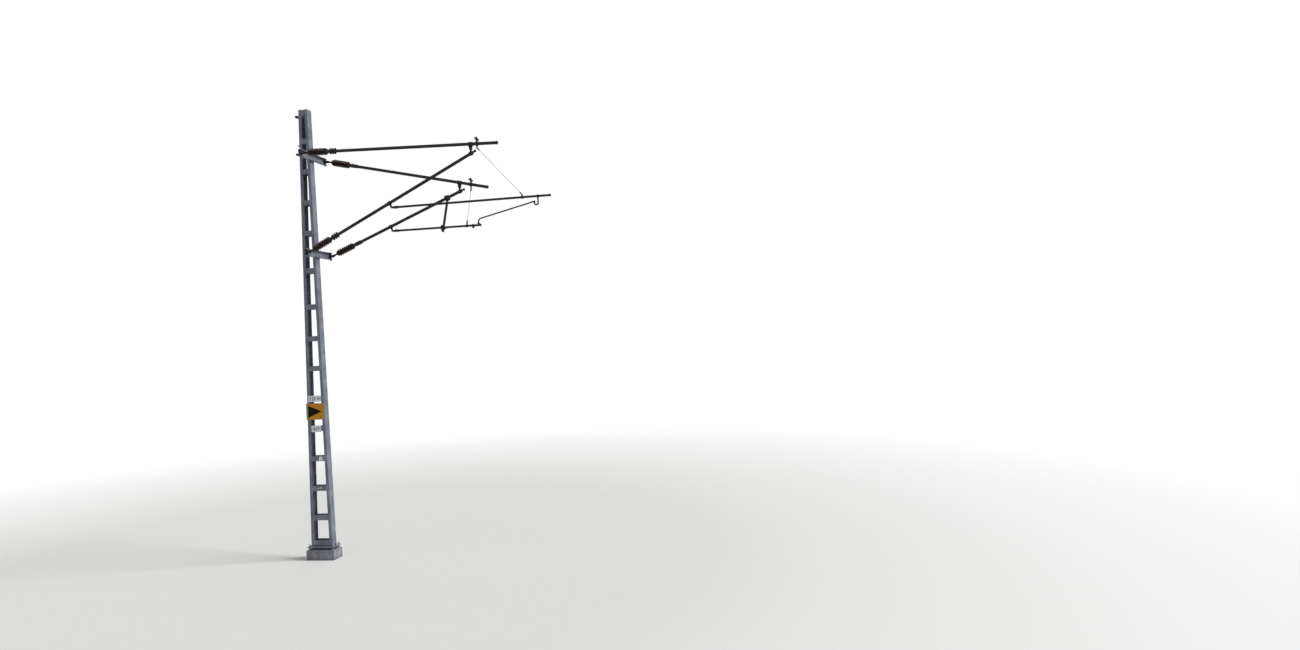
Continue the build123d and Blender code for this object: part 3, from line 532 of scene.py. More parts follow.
# Cast concrete: cement grey with pale sand grains, air holes and darker damp near the ground
concreteLooks = {
    "damp": "#62646C",
    "body": "#84868F",
    "dry": "#A3A5AD",
    "grain": 4, "hole": 42, "patch": 160,
    "dampTop": 90,  # mm above the ground
    "roughness": 0.88, "relief": (0.5, 2),
}


def castConcrete(name, looks):
    material, add, spot, patches, grain = startMaterial(name, looks, patch=(8, 0.65), grain=(4, 0.5))
    holes = add("TexVoronoi", {"Vector": spot, "Scale": perMetre(looks["hole"])})
    coat = add("ValToRGB", {"Fac": patches}, shades(looks, damp=0.3, body=0.5, dry=0.72))
    speckles = add("ValToRGB", {"Fac": grain}, [(0.35, grey(0.74)), (0.65, grey(1))])
    pores = add("ValToRGB", {"Fac": holes.outputs["Distance"]}, [(0.07, grey(0.45)), (0.13, grey(1))])
    for shade in (speckles, pores):
        coat = add("Mix", {0: 1, 6: coat, 7: shade}, data_type="RGBA", blend_type="MULTIPLY")
    # Damp from the ground up, with an uneven edge
    top = looks["dampTop"] / 1000
    height = add("SeparateXYZ", {0: spot}).outputs[2]
    edge = add("Math", {0: patches, 1: top, 2: height}, operation="MULTIPLY_ADD")
    ends = {"From Min": 0.05, "From Max": 0.05 + top, "To Min": 0.5, "To Max": 0}
    dampness = add("MapRange", {"Value": edge, **ends})
    coat = add("Mix", {0: dampness, 6: coat, 7: toLinear(looks["damp"])}, data_type="RGBA")
    relief = add("Math", {0: grain, 1: pores}, operation="ADD")
    return finishMaterial(material, looks, coat, relief)


# Enamelled sheet steel: a smooth coat, chalky with age, scratched and dusty, bare at the worn edge
yellowLooks = {
    "body": "#C4860E",
    "faded": "#C39124",
    "dirt": "#7A5A26",
    "edge": "#A0948F",
    "back": "#83868A",
    "worn": (28, 6, 7),  # mm of bare edge at the left, the right, and the top and bottom
    "ragged": 6,  # mm that the right one wanders
    "mottle": 90, "speck": 6, "roughness": (0.45, 0.65), "specular": 0.25, "relief": (0.06, 1),
}
whiteLooks = {
    "body": "#ECEFF7",
    "faded": "#DADDE8",
    "dirt": "#9A9CA3",
    "back": "#83868A",
    "mottle": 60, "speck": 5, "roughness": (0.34, 0.54), "specular": 0.5, "relief": (0.06, 1),
}
blackLooks = dict(
    yellowLooks, body="#0A0707", faded="#120D0D", dirt="#1F1816", roughness=(0.6, 0.8), specular=0.1
)
digitLooks = dict(whiteLooks, body="#343A4C", faded="#454B5D", dirt="#5A5F6C", roughness=(0.5, 0.7))


def enamel(name, looks, node=None):
    material, add, spot, mottle, specks = startMaterial(name, looks, mottle=(6, 0.6), speck=(2, 0.5))
    tint = add("ValToRGB", {"Fac": mottle}, shades(looks, body=0.38, faded=0.7))
    mask = add("ValToRGB", {"Fac": specks}, fadeIn(0.62, 0.76, 0.55))
    dirty = {0: mask, 7: toLinear(looks["dirt"])}
    front = add("Mix", {**dirty, 6: tint}, data_type="RGBA")
    back = add("Mix", {**dirty, 6: toLinear(looks["back"])}, data_type="RGBA")
    if node:
        # The worn edge of that node's plate: left, right, and top with bottom
        low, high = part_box(node)
        left, right, ends = [width / 1000 for width in looks["worn"]]
        middle, half = (low.z + high.z) / 2, (high.z - low.z) / 2
        parts = add("SeparateXYZ", {0: spot})
        swing = looks["ragged"] / 1000
        ragged = add("Math", {0: specks, 1: swing, 2: -swing / 2}, operation="MULTIPLY_ADD")
        across = add("Math", {0: parts, 1: ragged}, operation="ADD")
        rise = add("Math", {0: parts.outputs[2], 1: middle}, operation="SUBTRACT")
        off = add("Math", {0: rise}, operation="ABSOLUTE")
        worn = add("Math", {0: parts, 1: low.x + left}, operation="LESS_THAN")
        for distance, limit in ((across, high.x - right), (off, half - ends)):
            past = add("Math", {0: distance, 1: limit}, operation="GREATER_THAN")
            worn = add("Math", {0: worn, 1: past}, operation="MAXIMUM")
        front = add("Mix", {0: worn, 6: front, 7: toLinear(looks["edge"])}, data_type="RGBA")
    # The back has the grey ground coat only
    facing = add("SeparateXYZ", {0: add("TexCoord").outputs["Normal"]})
    behind = add("Math", {0: facing.outputs[1], 1: 0.5}, operation="GREATER_THAN")
    coat = add("Mix", {0: behind, 6: front, 7: back}, data_type="RGBA")
    return finishMaterial(material, looks, coat, mottle, mottle)


# Cement that seats the porcelain in its caps: a dry, pale, gritty ring
cementLooks = dict(
    concreteLooks, damp="#76716A", body="#8C8880", dry="#A19D94", grain=1.5, hole=9, patch=30, dampTop=1
)

print("catenary mast: materials")
zincBolt = galvanisedSteel("galvanisedBoltSteel", boltLooks)
# Dark bolt zinc: its darkness is painted shade
paintedShadeBolt = galvanisedSteel("paintedShadeBoltSteel", darkBoltLooks)
strandSteel = galvanisedSteel("strandedStaySteel", strandLooks)
weldMetal = galvanisedSteel("galvanisedWeldMetal", weldLooks)
brightZinc = galvanisedSteel("brightZincPlating", earthLooks)
# Casting colour darkened nearly to black as painted shade
sandCasting = castIron("paintedShadeSandCasting", castingLooks)
brownGlaze = glazedPorcelain("brownGlazedPorcelain", glazeLooks)
capCement = castConcrete("capCement", cementLooks)
blackEnamel = enamel("blackEnamelArrow", blackLooks)
digitEnamel = enamel("slateDigitEnamel", digitLooks)
slotMaterials = {
    "concrete": castConcrete("castFoundationConcrete", concreteLooks),
    "galvanised_steel": galvanisedSteel("galvanisedRolledSteel", galvanisedLooks),
    # Tube colour darkened nearly to black as painted shade
    "tube_steel": galvanisedSteel("paintedShadeGalvanisedTube", tubeLooks),
    "cast_fittings": sandCasting,
    "fastener_steel": zincBolt,
    "stay_steel": strandSteel,
    "porcelain": brownGlaze,
    "yellow_sign": enamel("yellowEnamelPlate", yellowLooks, "arrow_plate"),
    "white_sign": enamel("whiteEnamelPlate", whiteLooks),
}
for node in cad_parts.values():
    for materialSlot in node.material_slots:
        materialSlot.material = slotMaterials[materialSlot.material.name.split(".")[0]]

# Insulators: rounded sheds with a drip edge, cemented into the two caps
shedSizes = {"core": 43, "first": 166, "pitch": 51, "count": 7, "start": 128, "end": 510, "sides": 72}
shedOutline = [  # distance from the shed's tip line, and radius
    (-15, 43.2), (-13.5, 44.6), (-11, 48.5), (-7, 55.5), (-3, 62.8), (-0.6, 67.6), (0.5, 69.6),
    (1.6, 70.7), (2.8, 71), (4, 70.5), (4.8, 69.2), (4.9, 67.6), (4.0, 66.2), (3.0, 65),
    (3.0, 61.5), (3.6, 56), (4.6, 50), (5.8, 46), (8.5, 43.7), (12, 43),
]


def insulator(name, node, point, pitch, body):
    outline = [(shedSizes["start"], 0), (shedSizes["start"], shedSizes["core"])]
    for shed in range(shedSizes["count"]):
        middle = shedSizes["first"] + shed * shedSizes["pitch"]
        outline += [(middle + offset, radius) for offset, radius in shedOutline]
    outline += [(shedSizes["end"], shedSizes["core"]), (shedSizes["end"], 0)]
    bm = bmesh.new()
    lathe(bm, alongPlace(point, pitch), outline, shedSizes["sides"])
    piece = finishPiece(name, bm, brownGlaze, body, 50)
    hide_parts(node)


cementSizes = {
    "mouths": ((150, 1), (488, -1)), "proud": 2.6, "sides": 48,
    "ring": ((0, 48.5), (0.6, 46.9), (1, 44.1), (1.2, 43.1)),  # share of what stands proud, and radius
}


def addCement(bm, point, pitch):
    ring = cementSizes["ring"]
    for mouth, way in cementSizes["mouths"]:
        rise = way * cementSizes["proud"]
        outline = [(mouth - way, ring[-1][1]), (mouth - way, ring[0][1])]
        outline += [(mouth + rise * share, radius) for share, radius in ring]
        lathe(bm, alongPlace(point, pitch), outline + outline[:1], cementSizes["sides"])


# Everything that a cantilever's fittings are bolted with
ears = fittingSizes["socketEars"]
socketStep = fittingSizes["socketLength"] / ears
socketSpots = [fittingSizes["socketStart"] + (ear + 0.5) * socketStep for ear in range(ears)]


def bandEar(radius):
    # From a tube's middle to the bolts of a band round it
    return radius + fittingSizes["bandWall"] + fittingSizes["earReach"]


def earBolts(bm, point, pitch, out, kind="m12", spots=(0,), way="y", grip=fittingSizes["earThickness"]):
    # A bolt through each pair of ears, beside the tube (y) or above and below it (x and -x)
    place = alongPlace(point, pitch)
    for along in spots:
        for side in both(out):
            offset = (side, 0, along) if way == "y" else (0, side, along)
            addBolt(bm, boltPlace(place, offset, way), kind, grip)


def crossBolt(bm, point, kind, face):
    # A bolt along the track through two cheeks, locked with a split pin
    place = nearPlace(point)
    addBolt(bm, place, kind, 2 * face)
    bolt = boltKinds[kind]
    past = -face - bolt["plate"] - bolt["nut"] - bolt["tail"] * splitPinSizes["alongTail"]
    reach, wire = [bolt["thread"] * splitPinSizes[share] for share in ("reachShare", "wireShare")]
    addSplitPin(bm, place, past, reach, wire)


strandSizes = {
    "wires": 6, "wire": 1.15, "wireSides": 6, "layRadius": 2.15, "lay": 62,
    "steps": 14,  # in one lay
    "tuck": 2,  # into the clevis barrel
    "ferrule": 34, "ferruleFrom": 14, "ferruleRadii": (4.6, 5.6), "ferruleChamfer": 3,
    "ferruleSides": 18,
}


def addStrand(bm, top, bottom):
    # Six wires laid round the stay's core, from one clevis barrel to the other
    run = bottom - top
    start = fittingSizes["clevisLength"] - strandSizes["tuck"]
    length = run.length - 2 * start
    place = alongPlace(top, pitchOf(run))
    count = int(length / strandSizes["lay"] * strandSizes["steps"])
    radius = strandSizes["layRadius"]
    for wire in range(strandSizes["wires"]):
        path = []
        for step in range(count + 1):
            along = length * step / count
            angle = 2 * pi * (along / strandSizes["lay"] + wire / strandSizes["wires"])
            path.append(place @ Vector((radius * cos(angle), radius * sin(angle), start + along)))
        sweepRod(bm, path, [strandSizes["wire"]] * len(path), strandSizes["wireSides"])
    half, chamfer = strandSizes["ferrule"] / 2, strandSizes["ferruleChamfer"]
    mouth, body = strandSizes["ferruleRadii"]
    for middle in (start + strandSizes["ferruleFrom"], start + length - strandSizes["ferruleFrom"]):
        sleeve = [(middle - half, 0), (middle - half, mouth), (middle - half + chamfer, body)]
        sleeve += [(middle + half - chamfer, body), (middle + half, mouth), (middle + half, 0)]
        lathe(bm, place, sleeve, strandSizes["ferruleSides"])


saddleSizes = {
    "boltY": 34, "boltTop": 21, "bossHeight": 8, "bossRadius": 11, "capNut": 24,
    "capNutEnds": (118, 130),  # above the tube's middle
    "stud": 14, "studLength": 8,
}


def saddleBolts(bm, point):
    base, bolt = saddleSizes["boltTop"], boltKinds["m10"]
    for y in both(saddleSizes["boltY"]):
        place = Matrix.Translation(point + Vector((0, y, fittingSizes["messengerRise"])))
        addDisk(bm, place, base - saddleSizes["bossHeight"], base, saddleSizes["bossRadius"])
        addHexagon(bm, place, base, base + bolt["head"], bolt["across"])
    place = Matrix.Translation(point)
    seat, top = saddleSizes["capNutEnds"]
    addHexagon(bm, place, seat, top, saddleSizes["capNut"])
    addThread(bm, place, top, saddleSizes["studLength"], saddleSizes["stud"], 1)


print("catenary mast: cantilevers")
mainEar, armEar = bandEar(fittingSizes["mainRadius"]), bandEar(fittingSizes["armRadius"])
armLevels = (mastSizes["upperArm"], mastSizes["lowerArm"])
frames = {}
for tag, sizes in cantilevers.items():
    body = "cantilever_" + tag
    y = sizes["side"] * mastSizes["hingeY"]
    topPitch, armPitch = sizes["topPitch"], sizes["armPitch"]
    knuckles = [facePlace(level, mastSizes["knuckleReach"], y).translation for level in armLevels]
    topKnuckle, lowKnuckle = knuckles
    linkPoint = travel(topKnuckle, topPitch, sizes["linkReach"])
    messengerPoint = travel(topKnuckle, topPitch, sizes["linkReach"] + sizes["messengerOffset"])
    endPoint = linkPoint - Vector((0, 0, fittingSizes["linkDrop"]))
    span = endPoint - lowKnuckle
    diagonalPitch = pitchOf(span)
    eyePoint = travel(lowKnuckle, diagonalPitch, sizes["eyeReach"])
    armPin = travel(eyePoint, diagonalPitch, 0, -fittingSizes["eyeDrop"])
    stayPoint = travel(armPin, armPitch, sizes["wireReach"] - sizes["stayInset"])
    stayTop = messengerPoint - Vector((0, 0, fittingSizes["stayLugDrop"]))
    stayBottom = travel(stayPoint, armPitch, 0, fittingSizes["stayLugRise"])
    wirePoint = travel(armPin, armPitch, sizes["wireReach"])
    frames[tag] = {
        "armPin": armPin, "wirePoint": wirePoint, "lowKnuckle": lowKnuckle,
        "diagonalPitch": diagonalPitch, "span": span.length,
    }

    cement = bmesh.new()
    sockets = bmesh.new()
    for rod, knuckle, pitch in zip(("top", "diagonal"), knuckles, (topPitch, diagonalPitch)):
        insulator(rod + "_porcelain_" + tag, rod + "_insulator_" + tag, knuckle, pitch, body)
        addCement(cement, knuckle, pitch)
        out, grip = fittingSizes["socketEar"], fittingSizes["socketEarThickness"]
        earBolts(sockets, knuckle, pitch, out, "m12", socketSpots, sizes["socketWay"], grip)
    finishPiece("cap_cement_" + tag, cement, capCement, body)
    finishPiece("socket_bolts_" + tag, sockets, paintedShadeBolt, body)

    bm = bmesh.new()
    earBolts(bm, linkPoint, topPitch, mainEar, spots=fittingSizes["linkBolts"])
    earBolts(bm, messengerPoint, topPitch, mainEar)
    earBolts(bm, endPoint, diagonalPitch, mainEar)
    earBolts(bm, eyePoint, diagonalPitch, mainEar)
    earBolts(bm, stayPoint, armPitch, armEar, "m10")
    earBolts(bm, wirePoint, armPitch, armEar, "m10")
    saddleBolts(bm, messengerPoint)
    finishPiece("clamp_bolts_" + tag, bm, paintedShadeBolt, body)

    bm = bmesh.new()
    for knuckle in knuckles:
        crossBolt(bm, knuckle, "m16", fittingSizes["cheekFace"])
    crossBolt(bm, (linkPoint + endPoint) / 2, "m14", fittingSizes["cheekFace"])
    crossBolt(bm, armPin, "m14", fittingSizes["armCheekFace"])
    for end in (stayTop, stayBottom):
        crossBolt(bm, end, "m10", fittingSizes["stayCheekFace"])
    finishPiece("eye_bolts_" + tag, bm, paintedShadeBolt, body)

    bm = bmesh.new()
    addStrand(bm, stayTop, stayBottom)
    finishPiece("stay_strand_" + tag, bm, strandSteel, body)

# Steady arm: its pin, and the bolts that close its contact wire jaw
steadySizes = {"hook": 70, "pinDrop": 94, "reach": 1113, "fall": 239, "drop": 70, "cheekFace": 12}
# Contact wire jaws: how far below each point the wire lies, and how far above the wire its bolts are
jawSizes = {"grip": 26, "boltY": 15, "steady": (24, 15), "direct": (52, 17)}


def jawBolts(bm, point, drop, rise):
    wire = point - Vector((0, 0, drop))
    for y in both(jawSizes["boltY"]):
        spot = wire + Vector((0, y, rise))
        addBolt(bm, placeFrom(spot, Vector((0, 1, 0)), Vector((1, 0, 0))), "m8", jawSizes["grip"])


steadyPin = frames["a"]["wirePoint"] - Vector((steadySizes["hook"], 0, steadySizes["pinDrop"]))
steadyTip = steadyPin - Vector((steadySizes["reach"], 0, steadySizes["fall"] + steadySizes["drop"]))
bm = bmesh.new()
crossBolt(bm, steadyPin, "m12", steadySizes["cheekFace"])
jawBolts(bm, steadyTip, *jawSizes["steady"])
finishPiece("steady_arm_bolts", bm, paintedShadeBolt, "steady_arm_a")

# Short cantilever: jaw of the contact clamp, and the strut's crossing clamps
strutSizes = {"inset": 319, "reach": 1074, "gap": 8}
short = frames["b"]
armPitch = cantilevers["b"]["armPitch"]
strutRadius = fittingSizes["strutRadius"]
strutShift = Vector((0, fittingSizes["mainRadius"] + strutRadius + strutSizes["gap"], 0))
diagonalCross = travel(short["lowKnuckle"], short["diagonalPitch"], short["span"] - strutSizes["inset"])
armCross = travel(short["armPin"], armPitch, strutSizes["reach"])
strutPitch = pitchOf(armCross - diagonalCross)
crossings = ((diagonalCross, short["diagonalPitch"], mainEar), (armCross, armPitch, armEar))
bm = bmesh.new()
for cross, pitch, out in crossings:
    earBolts(bm, cross, pitch, out, way="x")
    earBolts(bm, cross + strutShift, strutPitch, bandEar(strutRadius), way="-x")
jawBolts(bm, short["wirePoint"], *jawSizes["direct"])
finishPiece("strut_bolts_b", bm, paintedShadeBolt, "cantilever_b")

# Mast: bolts through the cross-arms' webs, the wire lugs and the signs
print("catenary mast: mast fittings")
armBoltSizes = {"y": 44, "z": 36}
webs = mastSizes["channelWeb"] + mastSizes["seam"] + mastSizes["armWeb"]
bm = bmesh.new()
for level in armLevels:
    place = facePlace(level, webs / 2 - mastSizes["channelWeb"])
    fourBolts(bm, place, armBoltSizes["y"], armBoltSizes["z"], "m20", webs)
finishPiece("cross_arm_bolts", bm, zincBolt)

lugSizes = {"drops": (890, 710, 120), "spread": 25, "plate": 8}
depth = mastSizes["channelWeb"] + mastSizes["seam"] + lugSizes["plate"]
bm = bmesh.new()
for drop in lugSizes["drops"]:
    place = facePlace(mastSizes["height"] - drop, depth / 2 - mastSizes["channelWeb"], side=-1)
    fourBolts(bm, place, lugSizes["spread"], lugSizes["spread"], "m8", depth)
finishPiece("wire_lug_bolts", bm, zincBolt)

# Wire clamps on two of the lugs: cast jaws each side of the lug, a wire groove and its keepers
clampSizes = {
    "drops": (890, 120), "start": 54, "end": 97, "half": 20, "groove": 7, "grooveSteps": 8,
    "chamfers": (3, 12, 10),  # at the groove, and at the lug along and across
    "bore": 72,
    "faces": (4.4, 40),  # inner and outer face of a jaw, across the lug
    "keeper": 5, "keeperHalf": 17, "keeperInsets": (4, 3), "keeperCorner": 1.2, "boltRise": 13.2,
}


def jawOutline(sizes):
    # Chamfered block with a round groove in its outer face
    start, end, half, groove = sizes["start"], sizes["end"], sizes["half"], sizes["groove"]
    front, back, slope = sizes["chamfers"]
    outline = [(end, -half + front), (end - front, -half), (start + back, -half), (start, -half + slope)]
    outline += [(start, half - slope), (start + back, half), (end - front, half), (end, half - front)]
    for step in range(sizes["grooveSteps"] + 1):
        angle = radians(90 + step * 180 / sizes["grooveSteps"])
        outline.append((end + groove * cos(angle), groove * sin(angle)))
    return outline


jaws = bmesh.new()
bolts = bmesh.new()
start, end, keeper = clampSizes["start"], clampSizes["end"], clampSizes["keeper"]
inner, outer = clampSizes["faces"]
innerInset, outerInset = clampSizes["keeperInsets"]
half = clampSizes["keeperHalf"]
low, high = end + mastSizes["seam"], end + keeper
strap = [(low, -half), (high, -half), (high, half), (low, half)]
strap = roundCorners(strap, clampSizes["keeperCorner"], steps=2)
for drop in clampSizes["drops"]:
    place = facePlace(mastSizes["height"] - drop, mastSizes["seam"], side=-1)
    for side in (-1, 1):
        addSheet(jaws, place, jawOutline(clampSizes), side * inner, side * outer)
        addSheet(jaws, place, strap, side * (inner + innerInset), side * (outer - outerInset))
        for rise in both(clampSizes["boltRise"]):
            spot = ((start + end + keeper) / 2, side * (inner + outer) / 2, rise)
            addBolt(bolts, boltPlace(place, spot, "x"), "m8", end + keeper - start)
    addBolt(bolts, boltPlace(place, (clampSizes["bore"], 0, 0), "y"), "m12", 2 * outer)
finishPiece("wire_clamp_jaws", jaws, sandCasting)
finishPiece("wire_clamp_bolts", bolts, paintedShadeBolt)

# Split pins and grease nipples of the hinge pins
hingeSizes = {
    "pin": 20, "nutEnd": 86.2, "keeperPast": 4,
    "keeperShare": 0.58,  # its reach, of the pin's diameter
    "wire": 3.6, "pinTop": 80.2,
    "nipple": ((0, 0), (0, 5), (3, 5), (3, 3), (8, 3.4), (10, 2.2), (10, 0)),  # height and radius
    "nippleSides": 14,
}
past = -hingeSizes["nutEnd"] - hingeSizes["keeperPast"]
reach = hingeSizes["pin"] * hingeSizes["keeperShare"]
cup = [(hingeSizes["pinTop"] + height, radius) for height, radius in hingeSizes["nipple"]]
bm = bmesh.new()
for level in armLevels:
    for y in both(mastSizes["hingeY"]):
        place = facePlace(level, mastSizes["hingeReach"], y)
        addSplitPin(bm, place, past, reach, hingeSizes["wire"])
        lathe(bm, place, cup, hingeSizes["nippleSides"])
finishPiece("hinge_pin_keepers", bm, zincBolt)

# Welds: batten ends and edges on the flanges, and round each leg's foot
face = mastSizes["channelDepth"] / 2
bm = bmesh.new()
for level in battenLevels:
    edge = halfWidth(level) - mastSizes["battenInset"]
    inner = halfWidth(level) - mastSizes["channelFlange"] + weldSizes["short"]
    half = mastSizes["battenHeight"] / 2
    for y in both(face + weldSizes["sink"]):
        for side in (-1, 1):
            weldBead(bm, Vector((side * edge, y, level - half)), Vector((side * edge, y, level + half)))
            for z in (level - half, level + half):
                weldBead(bm, Vector((side * edge, y, z)), Vector((side * inner, y, z)))
finishPiece("batten_welds", bm, weldMetal, "mast", 60)

bm = bmesh.new()
foot = mastSizes["legFoot"] + weldSizes["sink"]
for side in (-1, 1):
    out = side * mastSizes["footWidth"] / 2
    tips = out - side * mastSizes["channelFlange"]
    for y in both(face):
        weldBead(bm, Vector((out, y, foot)), Vector((tips, y, foot)))
    weldBead(bm, Vector((out, -face, foot)), Vector((out, face, foot)))
finishPiece("foot_welds", bm, weldMetal, "mast", 60)

# Washers above and below the base plate's nuts, and threads where the anchor bolts show
anchorSizes = {
    "x": 252, "y": 92, "washer": 44, "washerBore": 25, "washerLevels": ((260, 263.5), (216.5, 220)),
    "washerSides": 28, "threadLevels": ((280, 304.5), (200, 216)), "threadPitch": 3,
    "threadRadii": (10, 11.7, 12.7),  # inside the bolt, root and crest
    "threadSides": 20,
}
inside, root, crest = anchorSizes["threadRadii"]
pitch = anchorSizes["threadPitch"]
radius, bore = anchorSizes["washer"] / 2, anchorSizes["washerBore"] / 2
bm = bmesh.new()
for x in both(anchorSizes["x"]):
    for y in both(anchorSizes["y"]):
        place = Matrix.Translation((x, y, 0))
        for low, high in anchorSizes["washerLevels"]:
            ring = [(low, bore), (low, radius), (high, radius), (high, bore), (low, bore)]
            lathe(bm, place, ring, anchorSizes["washerSides"])
        for low, high in anchorSizes["threadLevels"]:
            outline = [(low, inside)]
            turns = int((high - low) / pitch)
            for turn in range(turns):
                outline += [(low + turn * pitch, root), (low + turn * pitch + pitch / 2, crest)]
            outline += [(low + turns * pitch, root), (low + turns * pitch, inside), (low, inside)]
            lathe(bm, place, outline, anchorSizes["threadSides"])
finishPiece("anchor_washers", bm, zincBolt)

# The bright earthing stud: two nuts on a thread, each on its washer
earthSizes = {
    "x": 262, "y": 34, "across": 30,
    "washers": ((0, 4, 20, 28), (18, 21, 17, 24)),  # bottom, top, radius and sides
    "nuts": ((4, 18), (21, 34)), "thread": 18, "threadFrom": 34, "threadLength": 12,
}
bm = bmesh.new()
place = Matrix.Translation((earthSizes["x"], earthSizes["y"], mastSizes["legFoot"]))
for (low, high, radius, sides), (nutLow, nutHigh) in zip(earthSizes["washers"], earthSizes["nuts"]):
    addDisk(bm, place, low, high, radius, sides)
    addHexagon(bm, place, nutLow, nutHigh, earthSizes["across"])
addThread(bm, place, earthSizes["threadFrom"], earthSizes["threadLength"], earthSizes["thread"], 1)
finishPiece("earthing_stud", bm, brightZinc)

# Signs: the black arrow, generic digits, and the screws
print("catenary mast: signs")
arrowSizes = {
    "left": -157, "right": 140, "top": 121, "bottom": -124, "corner": 5,
    "film": 0.5, "sunk": 0.3,  # in front of the plate's face, and into it
}
low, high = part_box("arrow_plate")
middle = (low + high) / 2 * 1000
corners = [
    (middle.x + arrowSizes["left"], middle.z + arrowSizes["bottom"]),
    (middle.x + arrowSizes["right"], middle.z + (arrowSizes["top"] + arrowSizes["bottom"]) / 2),
    (middle.x + arrowSizes["left"], middle.z + arrowSizes["top"]),
]
bm = bmesh.new()
near, far = low.y * 1000 - arrowSizes["film"], low.y * 1000 + arrowSizes["sunk"]
addSheet(bm, Matrix.Identity(4), roundCorners(corners, arrowSizes["corner"], steps=5), near, far)
finishPiece("arrow_triangle", bm, blackEnamel)

digitSizes = {
    "film": 0.5, "spacing": 1.12,
    "capShare": 0.7,  # a digit's height in the font's size
    "swell": 1.4,  # mm added round each stroke
    "weldWithin": 0.01,
}


def addDigits(name, node, text, height):
    # Generic digits, centred on the plate
    low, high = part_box(node)
    words = bpy.data.curves.new(name + "_text", "FONT")
    words.body = text
    words.size = height / 1000 / digitSizes["capShare"]
    words.align_x = words.align_y = "CENTER"
    words.space_character = digitSizes["spacing"]
    words.extrude = digitSizes["film"] / 1000
    words.offset = digitSizes["swell"] / 1000
    writing = newObject(name + "_writing", words)
    bpy.context.view_layer.update()
    mesh = bpy.data.meshes.new_from_object(writing.evaluated_get(bpy.context.evaluated_depsgraph_get()))
    bpy.data.objects.remove(writing)
    middle = (low + high) / 2
    mesh.transform(Matrix.Translation((middle.x, low.y, middle.z)) @ rotation(90, "X"))
    bm = bmesh.new()
    bm.from_mesh(mesh)
    within = digitSizes["weldWithin"] / 1000
    bmesh.ops.remove_doubles(bm, verts=bm.verts, dist=within)
    bmesh.ops.dissolve_degenerate(bm, edges=bm.edges, dist=within)
    bm.to_mesh(mesh)
    bm.free()
    mesh.name = name
    mesh.materials.clear()
    addPiece(name, mesh, digitEnamel, "mast")


addDigits("distance_digits", "distance_plate", "123 0", 58)
addDigits("number_digits", "number_plate", "567", 56)

signScrews = {  # across and up from the plate's middle, and how far behind the plate the screw grips
    "arrow_plate": ((150, 145, 10), (-150, 145, 10), (150, -145, 10), (-150, -145, 10)),
    "distance_plate": ((-128, 0, 18), (128, 0, 8)),
    "number_plate": ((-90, 0, 8), (90, 0, 8)),
    "batten_tag": ((0, 36, 8), (0, -36, 8)),
}
bm = bmesh.new()
for node, screws in signScrews.items():
    low, high = [corner * 1000 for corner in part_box(node)]
    middle = (low + high) / 2
    for x, z, behind in screws:
        back = high.y + behind
        spot = Vector((middle.x + x, (low.y + back) / 2, middle.z + z))
        addBolt(bm, nearPlace(spot), "m8", back - low.y)
finishPiece("sign_screws", bm, zincBolt)

# Two bolts on the batten below the tag, where another tag once sat
spareBolts = {"level": 1411, "spots": ((-15, 3), (46, 12)), "kind": "m10"}
bm = bmesh.new()
face = mastSizes["channelDepth"] / 2 + mastSizes["battenThickness"] / 2
for x, z in spareBolts["spots"]:
    spot = Vector((x, -face, spareBolts["level"] + z))
    addBolt(bm, nearPlace(spot), spareBolts["kind"], mastSizes["battenThickness"])
finishPiece("spare_tag_bolts", bm, brightZinc)

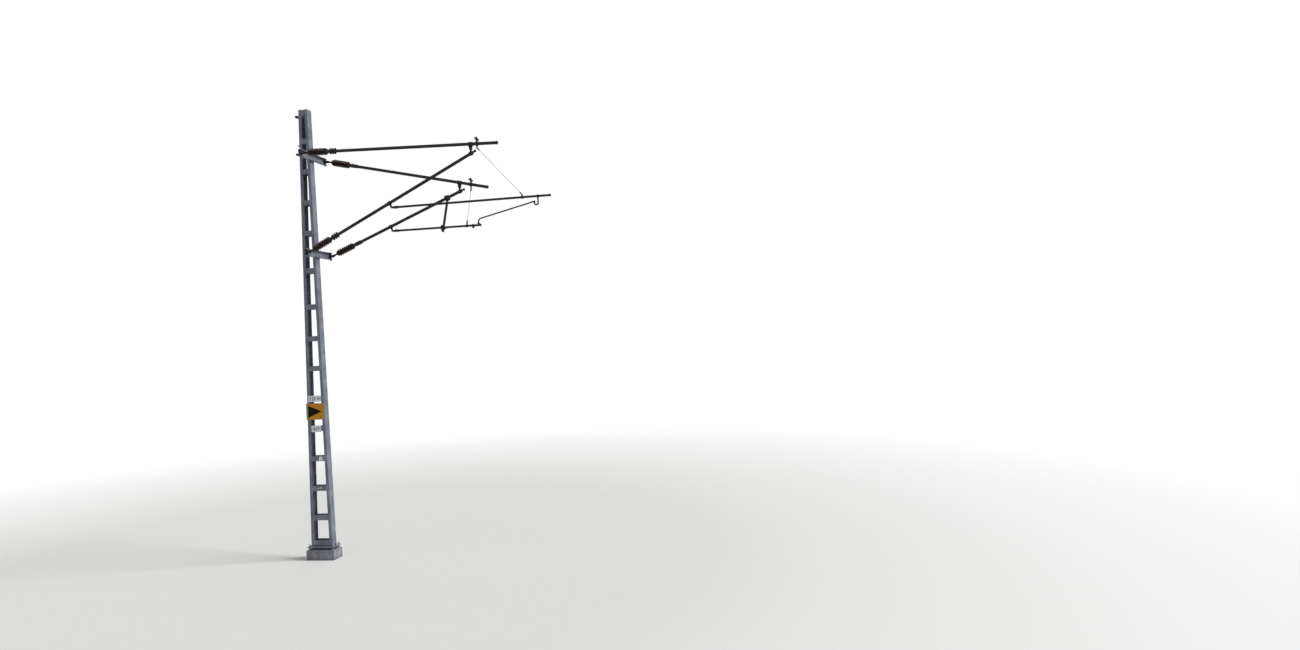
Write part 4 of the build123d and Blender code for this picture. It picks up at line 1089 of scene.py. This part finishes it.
# Stage: a pale floor that fades into the white surround, plain soft light
print("catenary mast: stage, light and camera")
stageSizes = {"floor": 26, "sides": 96, "below": 0.001, "fadeFrom": 7, "fadeTo": 20, "shade": "#F5F5F3"}
bm = bmesh.new()
bmesh.ops.create_circle(bm, cap_ends=True, segments=stageSizes["sides"], radius=stageSizes["floor"])
floorMesh = bpy.data.meshes.new("studio_floor")
bm.to_mesh(floorMesh)
bm.free()
floor = newObject("studio_floor", floorMesh)
floor.location.z = -stageSizes["below"]
floorMaterial, add, spot = startMaterial("paleFloorPaint")
paint = floorMaterial.node_tree.nodes["Principled BSDF"]
shade = toLinear(stageSizes["shade"])
setSockets(paint, {"Base Color": shade, "Roughness": 0.9, "Specular IOR Level": 0.1})
distance = add("VectorMath", {0: spot}, operation="LENGTH").outputs["Value"]
ends = {"From Min": stageSizes["fadeFrom"], "From Max": stageSizes["fadeTo"]}
fade = add("MapRange", {"Value": distance, **ends})
blend = add("MixShader", {0: fade, 1: paint, 2: add("BsdfTransparent")})
setSockets(floorMaterial.node_tree.nodes["Material Output"], {"Surface": blend})
floorMesh.materials.append(floorMaterial)

lightSizes = {"surround": 0.32, "key": 2.65, "softness": 22, "from": (0.95, 0.0, 0.62)}
# White to the eye and in reflections, dimmer as light on the mast
world = bpy.data.worlds.new("softStudio")
world.use_nodes = True
scene.world = world
world.node_tree.nodes.clear()
add = partial(addNode, world.node_tree)
rays = add("LightPath").outputs
seen = rays["Is Camera Ray"]
for kind in ("Is Glossy Ray", "Is Transmission Ray"):
    seen = add("Math", {0: seen, 1: rays[kind]}, operation="MAXIMUM")
level = add("MapRange", {"Value": seen, "To Min": lightSizes["surround"], "To Max": 1})
surround = add("Background", {"Color": grey(1), "Strength": level})
add("OutputWorld", {"Surface": surround})
lampData = bpy.data.lights.new("key_lamp", "SUN")
lampData.energy = lightSizes["key"]
lampData.angle = radians(lightSizes["softness"])
lamp = newObject("key_lamp", lampData)
lamp.rotation_euler = Vector(lightSizes["from"]).to_track_quat("Z", "Y").to_euler()

# Camera at the photograph's viewing angle, in a frame of 1300 by 650: focal and wide are its pixels
cameraSizes = {
    "place": (9.102, -13.43, 4.0), "yaw": 9.503, "pitch": 1.211, "roll": -3.129, "focal": 732,
    "wide": 1300, "sensor": 36, "farthest": 200,
}
cameraData = bpy.data.cameras.new("photo_camera")
cameraData.sensor_fit = "HORIZONTAL"
cameraData.sensor_width = cameraSizes["sensor"]
cameraData.lens = cameraSizes["focal"] / cameraSizes["wide"] * cameraSizes["sensor"]
cameraData.clip_end = cameraSizes["farthest"]
camera = newObject("photo_camera", cameraData)
camera.matrix_world = (
    Matrix.Translation(cameraSizes["place"])
    @ rotation(cameraSizes["yaw"], "Z")
    @ rotation(90 + cameraSizes["pitch"], "X")
    @ rotation(cameraSizes["roll"], "Z")
)
scene.camera = camera
scene.view_settings.view_transform = "Standard"
